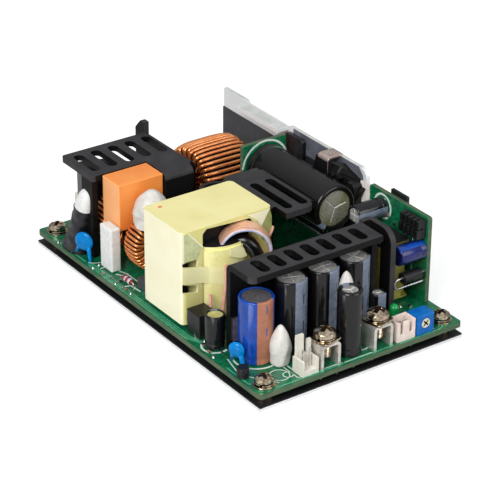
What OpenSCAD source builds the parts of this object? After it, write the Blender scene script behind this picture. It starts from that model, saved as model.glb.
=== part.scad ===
// Open frame mains power supply on an aluminium base plate.
// X runs across the board, Y along it with the output terminals at low Y, Z up.
// The origin lies under the middle of the base plate.

/* [Base and board] */
// Width of the base plate across X
base_w = 76.2; // [76:0.1:80]
// Length of the base plate along Y
base_l = 127; // [127:0.5:134]
// Thickness of the aluminium base plate
base_t = 1.0; // [0.8:0.1:2]
// Thickness of the black insulation sheet
sheet_t = 0.5; // [0.3:0.1:1]
// Height of the spacers under the board
spacer_h = 2.4; // [2:0.1:5]
// Outer diameter of a spacer
spacer_d = 6.0; // [5:0.1:7]
// Thickness of the main board
board_t = 1.6; // [1:0.1:2.4]
// Corner radius of the main board
board_r = 1.5; // [0.5:0.1:3]
// Distance from an edge to a mounting hole
hole_inset = 4.7625; // [4.4:0.0125:5]
// Diameter of a mounting hole in the base plate
mount_hole_d = 3.2; // [3.1:0.1:3.6]

/* [Corner screws] */
// Thread diameter of a corner screw
screw_d = 3.0; // [2.5:0.1:3]
// Diameter of a pan head
head_d = 5.6; // [5:0.1:6.4]
// Height of a pan head
head_h = 2.0; // [1.5:0.1:2.4]
// Outer diameter of the flat washer
washer_d = 7.0; // [6.2:0.1:7.6]
// Thickness of the flat washer
washer_t = 0.5; // [0.3:0.1:0.8]
// Thickness of the spring washer
spring_washer_t = 0.8; // [0.5:0.1:1]

/* [Aluminium wall] */
// Sheet thickness of the aluminium wall
wall_t = 1.5; // [1:0.1:2]
// Height of the wall over the board
wall_h = 32.7; // [30:0.1:36]
// Front end of the wall
wall_y0 = -16; // [-18:0.5:-12]
// Rear end of the wall
wall_y1 = 63.3; // [60:0.1:63.5]
// Front end of the folded lip
lip_y0 = 25.5; // [24:0.5:30]
// Rear end of the folded lip
lip_y1 = 49.5; // [46:0.5:56]
// Reach of the folded lip across X
lip_w = 6.6; // [5:0.1:8]
// Outer radius of a fold in the wall
wall_fold_r = 2.2; // [2.1:0.1:3]
// Thickness of the insulator on the wall
liner_t = 0.4; // [0.2:0.1:0.6]
// Height of the insulator over the board
liner_h = 26; // [24:0.5:28]

/* [Black heatsinks] */
// Height of the black heatsinks over the board
sink_h = 29.5; // [29:0.5:34]
// Sheet thickness of the left and middle heatsinks
sink_t = 2.0; // [1:0.1:2]
// Outer radius of a fold in those sheets
sink_fold_r = 2.4; // [2.1:0.1:2.6]
// Left edge of the left heatsink
left_x0 = -33.6; // [-34:0.1:-33]
// Front edge of the left heatsink
left_y0 = 34.8; // [34.8:0.1:36]
// Rear edge of the left heatsink
left_y1 = 54; // [53:0.5:56]
// Front face of the left heatsink's right part
step_y = 23.5; // [23.5:0.1:24.5]
// Left edge of the left heatsink's right part
step_x = -13.4; // [-13.4:0.1:-12]
// Right face of the left heatsink
left_x1 = 0.3; // [-0.5:0.1:1]
// Width of a slot in the left heatsink
left_slot_w = 3.3; // [2.5:0.1:3.6]
// Length of a slot in the left heatsink
left_slot_l = 13.3; // [10:0.1:14]
// Distance between slots in the left heatsink
left_slot_pitch = 6.4; // [6:0.1:6.4]
// Height of the rear fin over the plate
fin_rise = 3.3; // [1:0.1:4]
// Length of the rear fin
fin_l = 5.3; // [4:0.1:7]
// Left edge of the middle heatsink
middle_x0 = -0.3; // [-1:0.1:0]
// Width of the middle heatsink
middle_w = 16; // [15:0.1:16.4]
// Front edge of the middle heatsink
middle_y0 = -20.5; // [-21:0.5:-18]
// Rear edge of the middle heatsink
middle_y1 = 11.2; // [10:0.1:15]
// Width of a slot in the middle heatsink
middle_slot_w = 3.0; // [2:0.1:3.4]
// Length of a slot in the middle heatsink
middle_slot_l = 20.5; // [16:0.5:22]
// Sheet thickness of the front heatsink
front_t = 2.0; // [1.5:0.1:2.2]
// Rear face of the front heatsink
front_y = -36; // [-36.2:0.1:-36]
// Left end of the front heatsink
front_x0 = -31; // [-32:0.1:-30]
// Right face of the front heatsink's wing
front_x1 = 22.8; // [22:0.1:23]
// Reach of the slotted roof along Y
roof_l = 12.8; // [11:0.1:14]
// Right end of the slotted roof
roof_x1 = 17.5; // [17:0.1:18]
// Width of a slot in the roof
roof_slot_w = 3.4; // [2.5:0.1:4]
// Distance between slots in the roof
roof_slot_pitch = 6.0; // [5.5:0.1:6]
// Reach of the right wing along Y
wing_l = 12.6; // [11:0.1:13]
// Radius of the wing's front top corner
wing_r = 5; // [3:0.1:6]
// Length along Y of the slit in the wing
wing_slit_l = 4.2; // [2:0.1:4.6]
// Outer radius of a fold in the front heatsink
front_fold_r = 2.5; // [2.4:0.1:3]

/* [Main transformer] */
// Left face of the taped transformer
main_x0 = -36; // [-36.5:0.1:-35]
// Right face of the taped transformer
main_x1 = -3; // [-4:0.1:-2]
// Front face of the taped transformer
main_y0 = -20; // [-20.5:0.1:-19]
// Rear face of the taped transformer
main_y1 = 2; // [0:0.1:3]
// Height of the taped transformer
main_h = 33.3; // [32:0.1:35]
// Thickness of the tape wrapping
tape_t = 0.8; // [0.5:0.1:1.2]
// Diameter of the wound bobbin
bobbin_d = 24; // [22:0.5:24]
// Reach of the winding out of the tape's front
bobbin_bulge = 3.2; // [2.5:0.1:3.2]
// Breadth of the litz lead, a flat ribbon
litz_w = 4.6; // [3:0.1:4.6]
// Thickness of the litz lead
litz_t = 1.6; // [1:0.1:2]
// Mean radius of the litz lead's arch
litz_r = 7.8; // [7.4:0.1:8]
// Turn of the litz lead's arch away from the X axis
litz_turn = 28; // [20:1:32]

/* [Input chokes] */
// Diameter over the windings of an input choke
choke_d = 19.3; // [18:0.1:19.5]
// Depth over the windings of the near choke
near_depth = 8.2; // [8:0.1:8.3]
// Depth over the windings of the rear choke
rear_depth = 8.6; // [8:0.1:8.7]
// Wire diameter of the input chokes
choke_wire_d = 1.1; // [0.9:0.05:1.15]
// Turns in each of a choke's two windings
choke_turns = 17; // [12:1:17]
// Place of the near choke across X
near_x = -21; // [-21.5:0.1:-21]
// Place of the near choke along Y
near_y = 19.2; // [19:0.1:19.2]
// Place of the rear choke across X
rear_x = -20.5; // [-21:0.1:-20]
// Place of the rear choke along Y
rear_y = 39.2; // [39.2:0.1:40]

/* [Power choke] */
// Diameter over the winding of the power choke
power_d = 27; // [25:0.1:27.4]
// Depth over the winding of the power choke
power_depth = 20.9; // [19:0.1:21]
// Wire diameter of the power choke
power_wire_d = 1.5; // [1.2:0.05:1.5]
// Turns of the power choke
power_turns = 42; // [30:1:42]
// Place of the power choke across X
power_x = 16; // [15:0.1:17]
// Place of the power choke along Y
power_y = 40; // [38:0.1:42]
// Thickness of the seat under the power choke
power_seat_t = 0.6; // [0.5:0.1:1.5]

/* [Mains capacitors and fuse] */
// Width of the orange box capacitor
box_cap_w = 16.7; // [15:0.1:16.7]
// Depth of the orange box capacitor
box_cap_l = 10; // [9:0.1:10]
// Height of the orange box capacitor
box_cap_h = 16.3; // [15:0.1:16.3]
// Width of the white box capacitor
white_cap_w = 3.9; // [3:0.1:4]
// Depth of the white box capacitor
white_cap_l = 7; // [6:0.1:7.2]
// Height of the white box capacitor
white_cap_h = 15.5; // [14:0.1:18]
// Thickness of the fuse sleeve
fuse_w = 4.2; // [3:0.1:4.2]
// Breadth of the fuse sleeve
fuse_l = 6.6; // [5:0.1:7]
// Length of the fuse sleeve
fuse_h = 15.6; // [14:0.1:18]
// Lean of the fuse towards low Y
fuse_lean = 19; // [0:1:20]
// Diameter of the rear blue disc capacitor
disc_d = 6.5; // [5:0.1:6.6]
// Thickness of a blue disc capacitor
disc_t = 2.2; // [1.6:0.1:2.4]

/* [Bulk capacitor] */
// Diameter of the bulk capacitor
bulk_d = 15.6; // [14:0.1:15.6]
// Length of the bulk capacitor
bulk_l = 38; // [34:0.5:39]
// Place of the bulk capacitor's axis across X
bulk_x = 23.4; // [23.3:0.1:23.5]
// Height of the bulk capacitor's axis over the board
bulk_z = 23.8; // [23:0.1:24]
// Rear face of the bulk capacitor
bulk_y = 20.5; // [20:0.1:21]
// Width of the upright capacitor board
cap_board_w = 17.1; // [16:0.1:17.2]
// Height of the upright capacitor board
cap_board_h = 32.7; // [32:0.1:34]

/* [Output capacitors] */
// Diameter of a black output capacitor
out_cap_d = 10.2; // [9:0.1:10.4]
// Height of a black output capacitor
out_cap_h = 24; // [22:0.5:26]
// Gap between black output capacitors
out_cap_gap = 1.5; // [1:0.1:2]
// Diameter of the blue output capacitor
blue_cap_d = 10.9; // [10:0.1:11]
// Height of the blue output capacitor
blue_cap_h = 21.2; // [20:0.1:25]
// Gap from the wall to the output capacitors
out_cap_setback = 2.2; // [2:0.1:2.4]
// Diameter of the front capacitor
front_cap_d = 7.8; // [6:0.1:8]
// Height of the front capacitor
front_cap_h = 21.8; // [18:0.1:24]
// Diameter of the small left capacitor
side_cap_d = 6.3; // [5:0.1:6.3]
// Height of the small left capacitor
side_cap_h = 11.3; // [9:0.1:13]
// Diameter of the narrow capacitor
narrow_cap_d = 5.2; // [4:0.1:5.2]
// Height of the narrow capacitor
narrow_cap_h = 11.5; // [9:0.1:13]

/* [Screw terminals] */
// Width of a terminal bracket across X
terminal_w = 7.2; // [6.8:0.1:7.6]
// Depth of a terminal bracket along Y
terminal_l = 6.5; // [6:0.1:7]
// Height of a terminal bracket
terminal_h = 8.1; // [7:0.1:9]
// Sheet thickness of a terminal bracket
terminal_t = 1.0; // [0.8:0.1:1.2]
// Place of the first terminal across X
terminal_x = -11.6; // [-12:0.1:-11]
// Distance between the terminals
terminal_pitch = 19.7; // [19:0.1:20]
// Diameter of a terminal screw
terminal_screw_d = 4.0; // [3:0.1:4]
// Diameter of a terminal screw's head
terminal_head_d = 6.8; // [6:0.1:7]

/* [Connectors and trimmer] */
// Width of the fan connector
fan_w = 6.0; // [5.5:0.1:6]
// Height of the fan connector's rear tabs
fan_tab_h = 11.8; // [8:0.1:14]
// Width of the signal connector
signal_w = 6.9; // [6:0.1:7]
// Height of the signal connector
signal_h = 6.6; // [5:0.1:8]
// Width of the trimmer's body
trimmer_w = 6.6; // [6:0.1:6.8]
// Depth of the trimmer's body
trimmer_l = 5.2; // [4.5:0.1:5.4]
// Height of the trimmer's body
trimmer_h = 6.8; // [6:0.1:7.5]
// Diameter of the trimmer's rotor
rotor_d = 3.1; // [2.5:0.1:3.6]
// Length of the trimmer's rotor
rotor_l = 2.4; // [2:0.1:3]
// Clearance round the rotor
rotor_gap = 0.05; // [0.03:0.01:0.1]
// Diameter of the green lamp
led_d = 3.0; // [2.5:0.1:3]
// Height of the green lamp
led_h = 7.1; // [6:0.1:8]

/* [Control board] */
// Thickness of the upright control board
control_t = 1.5; // [1:0.1:1.6]
// Front end of the control board
control_y0 = -48.2; // [-49:0.1:-48]
// Rear end of the control board
control_y1 = -19; // [-20:0.1:-18]
// Height of the control board
control_h = 29.8; // [29:0.1:33]
// Thickness of the chip behind the control board
chip_t = 1.0; // [0.8:0.1:1.2]
// Diameter of the control board's capacitors
control_cap_d = 6.4; // [5:0.1:6.4]
// Diameter of the diode on the control board
diode_d = 3.6; // [3:0.1:4]

/* [Hidden] */
$fn = 48;

board_z = base_t + sheet_t + spacer_h;
top_z = board_z + board_t;
hole_x = base_w / 2 - hole_inset;
hole_y = base_l / 2 - hole_inset;
hole_places = [[-hole_x, -hole_y], [hole_x, -hole_y], [-hole_x, hole_y], [hole_x, hole_y]];
fit_gap = 0.1;
soft_gap = 0.3;
edge = 0.05;

wall_x1 = base_w / 2;
wall_x0 = wall_x1 - wall_t;
liner_x = wall_x0 - liner_t;
wall_z = top_z + wall_h;
sink_z = top_z + sink_h;
front_x = front_x1 - front_t;
cap_row_y = front_y - front_t - out_cap_setback - out_cap_d / 2;
control_x = base_w / 2 - chip_t - control_t;
lead_r = 0.35;

// Parts on the aluminium wall
rectifier_y = 20.4;
rectifier_w = 9.6;
transistor_w = 10;
transistor_t = 4.3;
transistor_h = 16;
transistor_z = top_z + 12.7;
transistor_top = transistor_z + transistor_h;
transistor_places = [0.4, -10.6];
clip_sheet_t = 0.4;
clip_t = 0.8;
clip_fold_r = 1.4;
clip_y0 = -2.8;
clip_y1 = 2.6;

// Left heatsink's leg, corner, slots and fin
left_leg_y0 = 35.8;
left_leg_y1 = 42.2;
left_corner_r = 1.2;
left_slots = 5;
left_slot_x = left_x0 + 4.1;
left_slot_y = left_y0 + 9.85;
left_leg_x = left_x0 + 0.4;
right_wall_mid = 40.5;

// Middle heatsink's slots, measured from its left edge
middle_slots = [5.7, 11.45];
middle_slot_y = middle_y0 + 2.5 + middle_slot_l / 2;
middle_corner_r = 3;

// Front heatsink's slots and the transistors behind it
roof_slots = 7;
roof_slot_x = front_x0 + 6.9;
roof_slot_rim = 1.5;
wing_slit_y = front_y - 7.6;
output_rectifier_places = [-19, -7];

// Inside of the main transformer
core_setback = 3.6;
bobbin_x = (main_x0 + main_x1) / 2;
bobbin_y = main_y0 - bobbin_bulge + bobbin_d / 2;
bobbin_top = top_z + main_h - 7;
bobbin_chord = sqrt(pow(bobbin_d / 2, 2) - pow(bobbin_d / 2 - bobbin_bulge - tape_t, 2)) + fit_gap;
window_x0 = bobbin_x - bobbin_chord;
window_x1 = main_x1 - 6.4;
pin_count = 5;
litz_x = bobbin_x + 4.5;
litz_y = main_y0 - 2.6;
litz_z = bobbin_top - 3.4;

// Chokes standing on the board
choke_z = top_z + soft_gap + choke_d / 2;
choke_bore_r = 5.3;
choke_lift = 0.8;
power_z = top_z + power_seat_t + power_d / 2;
power_bore_r = 7.4;
power_lift = 1.5;

// Places on the mains side
box_cap_x = step_x - fit_gap - box_cap_w / 2;
box_cap_y = left_y0 - soft_gap - box_cap_l / 2;
white_cap_x = -32.35;
white_cap_y = 26.8;
fuse_x = -35.4;
fuse_y = 46.3;
disc_turn = 30;
disc_lift = 2.8;
disc_places = [[-35.7, 37.6, disc_d], [-33.8, -45.4, disc_d - 1.4]];
input_x = -17;
input_y = 59;
cap_board_shift = 0.25;

// Places on the output side
out_cap_x = -2.6;
blue_cap_x = out_cap_x - 1.5 * out_cap_d - 2 * out_cap_gap - blue_cap_d / 2;
front_cap_x = -1.8;
front_cap_y = -58;
side_cap_x = -32.7;
side_cap_y = -32.6;
narrow_cap_x = out_cap_x + out_cap_d + out_cap_gap + 6.2;
narrow_cap_y = cap_row_y - 4.6;
terminal_places = [terminal_x, terminal_x + terminal_pitch];
terminal_y = -59.05;
terminal_z = top_z + terminal_h;
terminal_washer_t = 0.8;
fan_x = -19;
fan_y = -59.75;
signal_x = 16.75;
signal_y = -60;
trimmer_x = 24;
trimmer_y = -60.2;
rotor_z = top_z + 3.8;
led_x = 19.7;
led_y = -52.6;
glue_x = -22.8;
glue_y = -52.7;
coupler_x = -31.75;
coupler_y = -24.1;
drive_x = 4.2;
drive_y = -28.4;
drive_w = 10;
drive_h = 19;

// Places on and beside the control board
chip_y = -35.7;
control_cap_places = [[-25.8, top_z + 24.8, 11.5], [-45.5, top_z + 18.5, 10]];
auxiliary_w = 10.2;
auxiliary_l = 12;
auxiliary_h = 21;
auxiliary_x = front_x1 + 0.6 + auxiliary_w / 2;
auxiliary_y = -36;

// Small black parts and the diode at the left edge
relay_place = [-21.5, 49.9];
relay_size = [14, 7, 25];
drum_place = [2, 17.35];
drum_d = 11.8;
drum_h = 22.5;
coil_place = [-36, -51.8];
coil_d = 3.8;
diode_x = -34.6;
diode_y = 10.4;

// Rectangle from one corner to the other
module span(a0, a1, b0, b1) {
    translate([a0, b0]) square([a1 - a0, b1 - b0]);
}

// Rectangle with all corners rounded
module round_span(a0, a1, b0, b1, r) {
    span(a0 + r, a1 - r, b0, b1);
    span(a0, a1, b0 + r, b1 - r);
    for (a = [a0 + r, a1 - r], b = [b0 + r, b1 - r]) translate([a, b]) circle(r);
}

// Obround slot along the second direction
module slot(w, l) {
    square([w, l - w], center = true);
    for (s = [-1, 1]) translate([0, s * (l - w) / 2]) circle(w / 2);
}

// Outline in X and Y raised along Z
module along_z(z0, z1) {
    translate([0, 0, z0]) linear_extrude(z1 - z0) children();
}

// Outline in Y and Z carried along X
module along_x(x0, x1) {
    translate([x0, 0, 0]) rotate([90, 0, 90]) linear_extrude(x1 - x0) children();
}

// Outline in X and Z carried along Y
module along_y(y0, y1) {
    translate([0, y1, 0]) rotate([90, 0, 0]) linear_extrude(y1 - y0) children();
}

// Quarter of a ring in the quadrant given by the two signs
module fold(outer_r, t, sa, sb) {
    intersection() {
        difference() {
            circle(outer_r);
            circle(outer_r - t);
        }
        translate([sa > 0 ? 0 : -outer_r, sb > 0 ? 0 : -outer_r]) square(outer_r);
    }
}

// Block with every edge rounded, standing on the origin
module soft_box(w, l, h, r) {
    intersection() {
        along_z(0, h) round_span(-w / 2, w / 2, -l / 2, l / 2, r);
        along_y(-l / 2, l / 2) round_span(-w / 2, w / 2, 0, h, r);
        along_x(-w / 2, w / 2) round_span(-l / 2, l / 2, 0, h, r);
    }
}

// Straight round lead between two heights
module lead(x, y, z0, z1, r = lead_r) {
    translate([x, y, z0]) cylinder(r = r, h = z1 - z0);
}

// Cross recess cut into a screw head
module cross_recess(w, depth) {
    for (a = [0, 90]) rotate([0, 0, a]) {
        translate([-w / 2, -w / 9, -depth]) cube([w, w / 4.5, depth + 1]);
    }
}

// Pan head with a domed top, on the origin
module pan_head(d, h) {
    difference() {
        rotate_extrude() {
            intersection() {
                span(0, d / 2, 0, h);
                translate([0, h - d]) circle(d);
            }
        }
        translate([0, 0, h]) cross_recess(d * 0.55, h * 0.5);
    }
}

// Ring with a gap, like a split spring washer
module split_ring(outer_d, inner_d, t) {
    difference() {
        cylinder(d = outer_d, h = t);
        translate([0, 0, -1]) cylinder(d = inner_d, h = t + 2);
        translate([0, -0.3, -1]) cube([outer_d, 0.6, t + 2]);
    }
}

// Sleeved can of an electrolytic capacitor with a scored vent in its top
module can(d, h, arms = 4, shoulder = 0.8) {
    r = d / 2;
    vent_r = r * 0.72;
    groove_r = 0.35;
    groove_h = 2.2;
    recess = 0.3;
    score_w = 0.4;
    score_depth = 0.3;
    difference() {
        rotate_extrude() difference() {
            union() {
                span(0, r - shoulder, 0, h);
                span(0, r, 0.5, h - shoulder);
                span(0, r - 0.4, 0, 1);
                translate([r - shoulder, h - shoulder]) circle(shoulder);
            }
            translate([r + 0.2, groove_h]) circle(groove_r);
            span(0, vent_r, h - recess, h + 1);
        }
        for (i = [0:arms - 1]) rotate([0, 0, i * 360 / arms]) {
            translate([0, -score_w / 2, h - recess - score_depth]) cube([vent_r * 0.85, score_w, 1]);
        }
    }
}

// Transistor body with three legs, its back on Y = 0 and its body towards low Y
module package(w, t, h, z) {
    leg_w = 0.8;
    leg_t = 0.5;
    leg_pitch = 2.54;
    chamfer = 0.8;
    translate([0, 0, z]) difference() {
        along_y(-t, 0) {
            polygon([[-w / 2, 0], [w / 2, 0], [w / 2, h - chamfer], [w / 2 - chamfer, h],
                [chamfer - w / 2, h], [-w / 2, h - chamfer]]);
        }
        along_y(-t - 1, -t * 0.65) translate([0, h - 3]) circle(3.4);
        along_y(-t - 1, 1) translate([0, h - 3]) circle(1.6);
    }
    for (i = [-1, 0, 1]) {
        translate([i * leg_pitch - leg_w / 2, -t / 2, top_z]) cube([leg_w, leg_t, z - top_z + 0.1]);
    }
}

function unit(v) = v / norm(v);

// Round wire carried along a path, each ring turned by its own reference direction
module wire(path, refs, r, sides) {
    last = len(path) - 1;
    tangent = [for (i = [0:last]) unit(path[min(i + 1, last)] - path[max(i - 1, 0)])];
    normal = [for (i = [0:last]) unit(cross(refs[i], tangent[i]))];
    side = [for (i = [0:last]) cross(tangent[i], normal[i])];
    points = [for (i = [0:last], j = [0:sides - 1])
        path[i] + r * (cos(360 * j / sides) * normal[i] + sin(360 * j / sides) * side[i])];
    skin = [for (i = [0:last - 1], j = [0:sides - 1])
        let (a = i * sides + j, b = i * sides + (j + 1) % sides)
        each [[a, b + sides, b], [a, a + sides, b + sides]]];
    near_cap = [for (j = [0:sides - 1]) j];
    far_cap = [for (j = [0:sides - 1]) last * sides + sides - 1 - j];
    polyhedron(points, concat([near_cap], skin, [far_cap]), convexity = 10);
}

// Height over the ring's middle plane and radius of one turn's eight points.
// Every second turn goes deeper into the bore and lies over its neighbours.
function turn_point(k, ro, ri, ho, hi, c) =
    [[ro, c - ho], [ro, ho - c], [ro - c, ho], [ri + c, hi],
     [ri, hi - c], [ri, c - hi], [ri + c, -hi], [ro - c, -ho]][k];

// Winding on a ring whose axis is Z, from one angle to another, in two layers in the bore
// Its first and last turns may run on to a lead that ends at the height lead_to.
module ring_winding(outer_d, depth, wire_d, turns, a0, a1, bore_r, lift, lead_to, first, final) {
    ro = (outer_d - wire_d) / 2;
    top = (depth - wire_d) / 2;
    corner = 0.7 * wire_d;
    step = (a1 - a0) / turns;
    last = turns * 8 - 1;
    angles = [for (i = [0:last]) a0 + step * i / 8];
    coil = [for (i = [0:last])
        let (deep = floor(i / 8) % 2,
            p = turn_point(i % 8, ro, bore_r - deep * wire_d * 1.08, top - lift,
                top - lift * (1 - deep), corner))
        [p[0] * cos(angles[i]), p[0] * sin(angles[i]), p[1]]];
    turned = [for (a = angles) [-sin(a), cos(a), 0]];
    start = first ? [[coil[0][0], lead_to, coil[0][2]]] : [];
    end = final ? [[coil[last][0], lead_to, coil[last][2]]] : [];
    refs = concat(first ? [turned[0]] : [], turned, final ? [turned[last]] : []);
    wire(concat(start, coil, end), refs, wire_d / 2, 5);
}

// Ring core with rounded edges, its axis along Z
module ring_core(outer_r, inner_r, half, r) {
    rotate_extrude() round_span(inner_r, outer_r, -half, half, r);
}

module base_plate() {
    color("gainsboro") along_z(0, base_t) difference() {
        square([base_w, base_l], center = true);
        for (p = hole_places) translate(p) circle(d = mount_hole_d);
    }
}

module insulation_sheet() {
    color("black") along_z(base_t, base_t + sheet_t) difference() {
        square([base_w, base_l], center = true);
        for (p = hole_places) translate(p) circle(d = mount_hole_d);
    }
}

module board_spacers() {
    color("silver") along_z(base_t + sheet_t, board_z) for (p = hole_places) {
        translate(p) difference() {
            circle(d = spacer_d);
            circle(d = screw_d);
        }
    }
}

module main_board() {
    color("darkgreen") along_z(board_z, top_z) difference() {
        round_span(-base_w / 2, base_w / 2, -base_l / 2, base_l / 2, board_r);
        for (p = hole_places) translate(p) circle(d = screw_d + 0.5);
    }
}

module corner_washers() {
    bore = screw_d + 0.2;
    color("silver") for (p = hole_places) translate([p[0], p[1], top_z]) {
        difference() {
            cylinder(d = washer_d, h = washer_t);
            translate([0, 0, -1]) cylinder(d = bore, h = washer_t + 2);
        }
        translate([0, 0, washer_t]) rotate([0, 0, 40]) split_ring(head_d - 0.4, bore, spring_washer_t);
    }
}

module corner_screws() {
    seat = top_z + washer_t + spring_washer_t;
    tip = base_t + sheet_t + spacer_h * 0.45;
    color("lightgray") for (p = hole_places) translate([p[0], p[1], 0]) {
        translate([0, 0, tip]) cylinder(d = screw_d, h = seat - tip);
        translate([0, 0, seat]) rotate([0, 0, 25]) pan_head(head_d, head_h);
    }
}

module aluminium_wall() {
    corner_r = 3;
    relief = 0.2;
    fold_z = wall_z - wall_fold_r;
    color("whitesmoke") {
        along_x(wall_x0, wall_x1) difference() {
            union() {
                span(wall_y0, wall_y1, top_z, wall_z - corner_r);
                span(wall_y0 + corner_r, wall_y1, wall_z - corner_r - 1, wall_z);
                translate([wall_y0 + corner_r, wall_z - corner_r]) circle(corner_r);
            }
            span(lip_y0 - relief, lip_y1 + relief, fold_z, wall_z + 1);
            screw_notch();
        }
        along_y(lip_y0, lip_y1) {
            translate([wall_x1 - wall_fold_r, fold_z]) fold(wall_fold_r, wall_t, 1, 1);
            span(wall_x1 - lip_w, wall_x1 - wall_fold_r, wall_z - wall_t, wall_z);
        }
    }
}

// Room for the rear corner screw, cut from the wall and its insulator
module screw_notch() {
    y0 = hole_y - washer_d / 2 - 0.8;
    span(y0, wall_y1 + 1, top_z - 1, top_z + washer_t + spring_washer_t + head_h + soft_gap);
}

module wall_insulator() {
    color("black") along_x(liner_x, wall_x0) difference() {
        span(wall_y0 + 1, wall_y1, top_z + 1, top_z + liner_h);
        screw_notch();
    }
}

// Rectifier with a dark metal plate that stands above its body
module rectifier() {
    plate_t = 1.4;
    plate_h = 18.3;
    corner = 0.8;
    body_t = 2.9;
    body_h = 11;
    body_z = top_z + 13;
    y0 = rectifier_y - rectifier_w / 2;
    y1 = rectifier_y + rectifier_w / 2;
    z1 = body_z + plate_h;
    color("dimgray") {
        along_x(liner_x - plate_t, liner_x) {
            polygon([[y0, body_z], [y1, body_z], [y1, z1 - corner], [y1 - corner, z1],
                [y0 + corner, z1], [y0, z1 - corner]]);
        }
        translate([liner_x - plate_t, rectifier_y, 0]) rotate([0, 0, -90]) {
            package(rectifier_w, body_t, body_h, body_z);
        }
    }
}

// Two full-pack transistors side by side on the wall
module wall_transistors() {
    color("#202020") for (y = transistor_places) {
        translate([liner_x, y, 0]) rotate([0, 0, -90]) {
            package(transistor_w, transistor_t, transistor_h, transistor_z);
        }
    }
}

// Black sheet that hangs in front of the clip's leg and falls away to the front
module clip_insulator() {
    y0 = transistor_places[1] - transistor_w / 2;
    y1 = transistor_places[0] + transistor_w / 2;
    z0 = top_z + bulk_z + bulk_d / 2 - 4.7;
    x = liner_x - transistor_t - clip_t;
    color("#1a1a1a") along_x(x - clip_sheet_t, x) {
        polygon([[y0, z0], [y1, z0], [y1, wall_z - 1], [clip_y1, wall_z - clip_fold_r + clip_t],
            [clip_y0, wall_z - clip_fold_r + clip_t], [y0, z0 + 1]]);
    }
}

// Spring clip over the wall's top edge, its leg pressing on the nearest transistor
module spring_clip() {
    x1 = liner_x - transistor_t;
    color("rosybrown") along_y(clip_y0, clip_y1) {
        span(x1 - clip_t + clip_fold_r, wall_x1 - clip_t, wall_z, wall_z + clip_t);
        translate([x1 - clip_t + clip_fold_r, wall_z + clip_t - clip_fold_r]) fold(clip_fold_r, clip_t, -1, 1);
        span(x1 - clip_t, x1, transistor_top - 1.2, wall_z + clip_t - clip_fold_r);
    }
}

// Sheet over the mains corner: slotted plate on a left leg, stepped front, right wall with a fin
module left_heatsink() {
    fold_z = sink_z - sink_fold_r;
    plate_x1 = left_x1 - sink_fold_r;
    plate_y0 = step_y + sink_fold_r;
    right_y0 = plate_y0 + 1;
    fin_y0 = left_y1 + soft_gap;
    color("#2c2c2c") {
        along_z(sink_z - sink_t, sink_z) difference() {
            union() {
                round_span(left_x0, step_x, left_y0, left_y1, left_corner_r);
                span(step_x - left_corner_r, plate_x1, left_y0, left_y1);
                span(step_x, plate_x1, plate_y0, left_y0 + 1);
            }
            for (i = [0:left_slots - 1]) {
                translate([left_slot_x + i * left_slot_pitch, left_slot_y]) slot(left_slot_w, left_slot_l);
            }
        }
        along_y(left_leg_y0, left_leg_y1) {
            span(left_leg_x, left_leg_x + sink_t, top_z, sink_z - sink_t);
        }
        along_x(step_x, plate_x1 - 0.5) {
            translate([plate_y0, fold_z]) fold(sink_fold_r, sink_t, -1, 1);
            span(step_y, step_y + sink_t, top_z, fold_z);
        }
        along_y(right_y0, left_y1) translate([plate_x1, fold_z]) fold(sink_fold_r, sink_t, 1, 1);
        along_x(left_x1 - sink_t, left_x1) {
            span(right_y0, fin_y0 + fin_l, top_z, fold_z);
            polygon([[fin_y0, fold_z - 1], [fin_y0 + fin_l, fold_z - 1], [fin_y0 + fin_l, sink_z],
                [fin_y0 + fin_l - 3, sink_z + fin_rise], [fin_y0, sink_z + fin_rise]]);
        }
    }
}

// Bridge rectifier on the inner side of the left heatsink's right wall
module bridge_rectifier() {
    w = 20;
    t = 3.6;
    h = 15;
    z = top_z + 6;
    y = right_wall_mid - w / 2;
    x1 = left_x1 - sink_t;
    color("#262626") {
        along_x(x1 - t, x1) difference() {
            polygon([[y, z], [y + w, z], [y + w, z + h], [y + 3, z + h], [y, z + h - 3]]);
            translate([y + w / 2, z + h - 4]) circle(1.6);
        }
        for (i = [0:3]) {
            translate([x1 - t / 2, y + w / 2 + (i - 1.5) * 5.08 - 0.5, top_z]) cube([0.6, 1, z - top_z + 0.1]);
        }
    }
}

// Slotted sheet behind the main transformer, folded down along both long edges
module middle_heatsink() {
    fold_z = sink_z - sink_fold_r;
    x1 = middle_x0 + middle_w;
    plate_x1 = x1 - sink_fold_r;
    corner_y = middle_y0 + middle_corner_r;
    skirt = 0.6;
    color("#2c2c2c") {
        along_z(sink_z - sink_t, sink_z) difference() {
            union() {
                span(middle_x0 + sink_fold_r, plate_x1, corner_y, middle_y1);
                span(middle_x0 + sink_fold_r, plate_x1 - middle_corner_r, middle_y0, middle_y1);
                translate([plate_x1 - middle_corner_r, corner_y]) circle(middle_corner_r);
            }
            for (x = middle_slots) {
                translate([middle_x0 + x, middle_slot_y]) slot(middle_slot_w, middle_slot_l);
            }
        }
        along_y(corner_y, middle_y1 - 2) {
            translate([plate_x1, fold_z]) fold(sink_fold_r, sink_t, 1, 1);
            span(x1 - sink_t, x1, fold_z - skirt, fold_z);
        }
        along_y(middle_y0 + 6, middle_y1) {
            translate([middle_x0 + sink_fold_r, fold_z]) fold(sink_fold_r, sink_t, -1, 1);
            span(middle_x0, middle_x0 + sink_t, top_z, fold_z);
        }
    }
}

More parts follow.
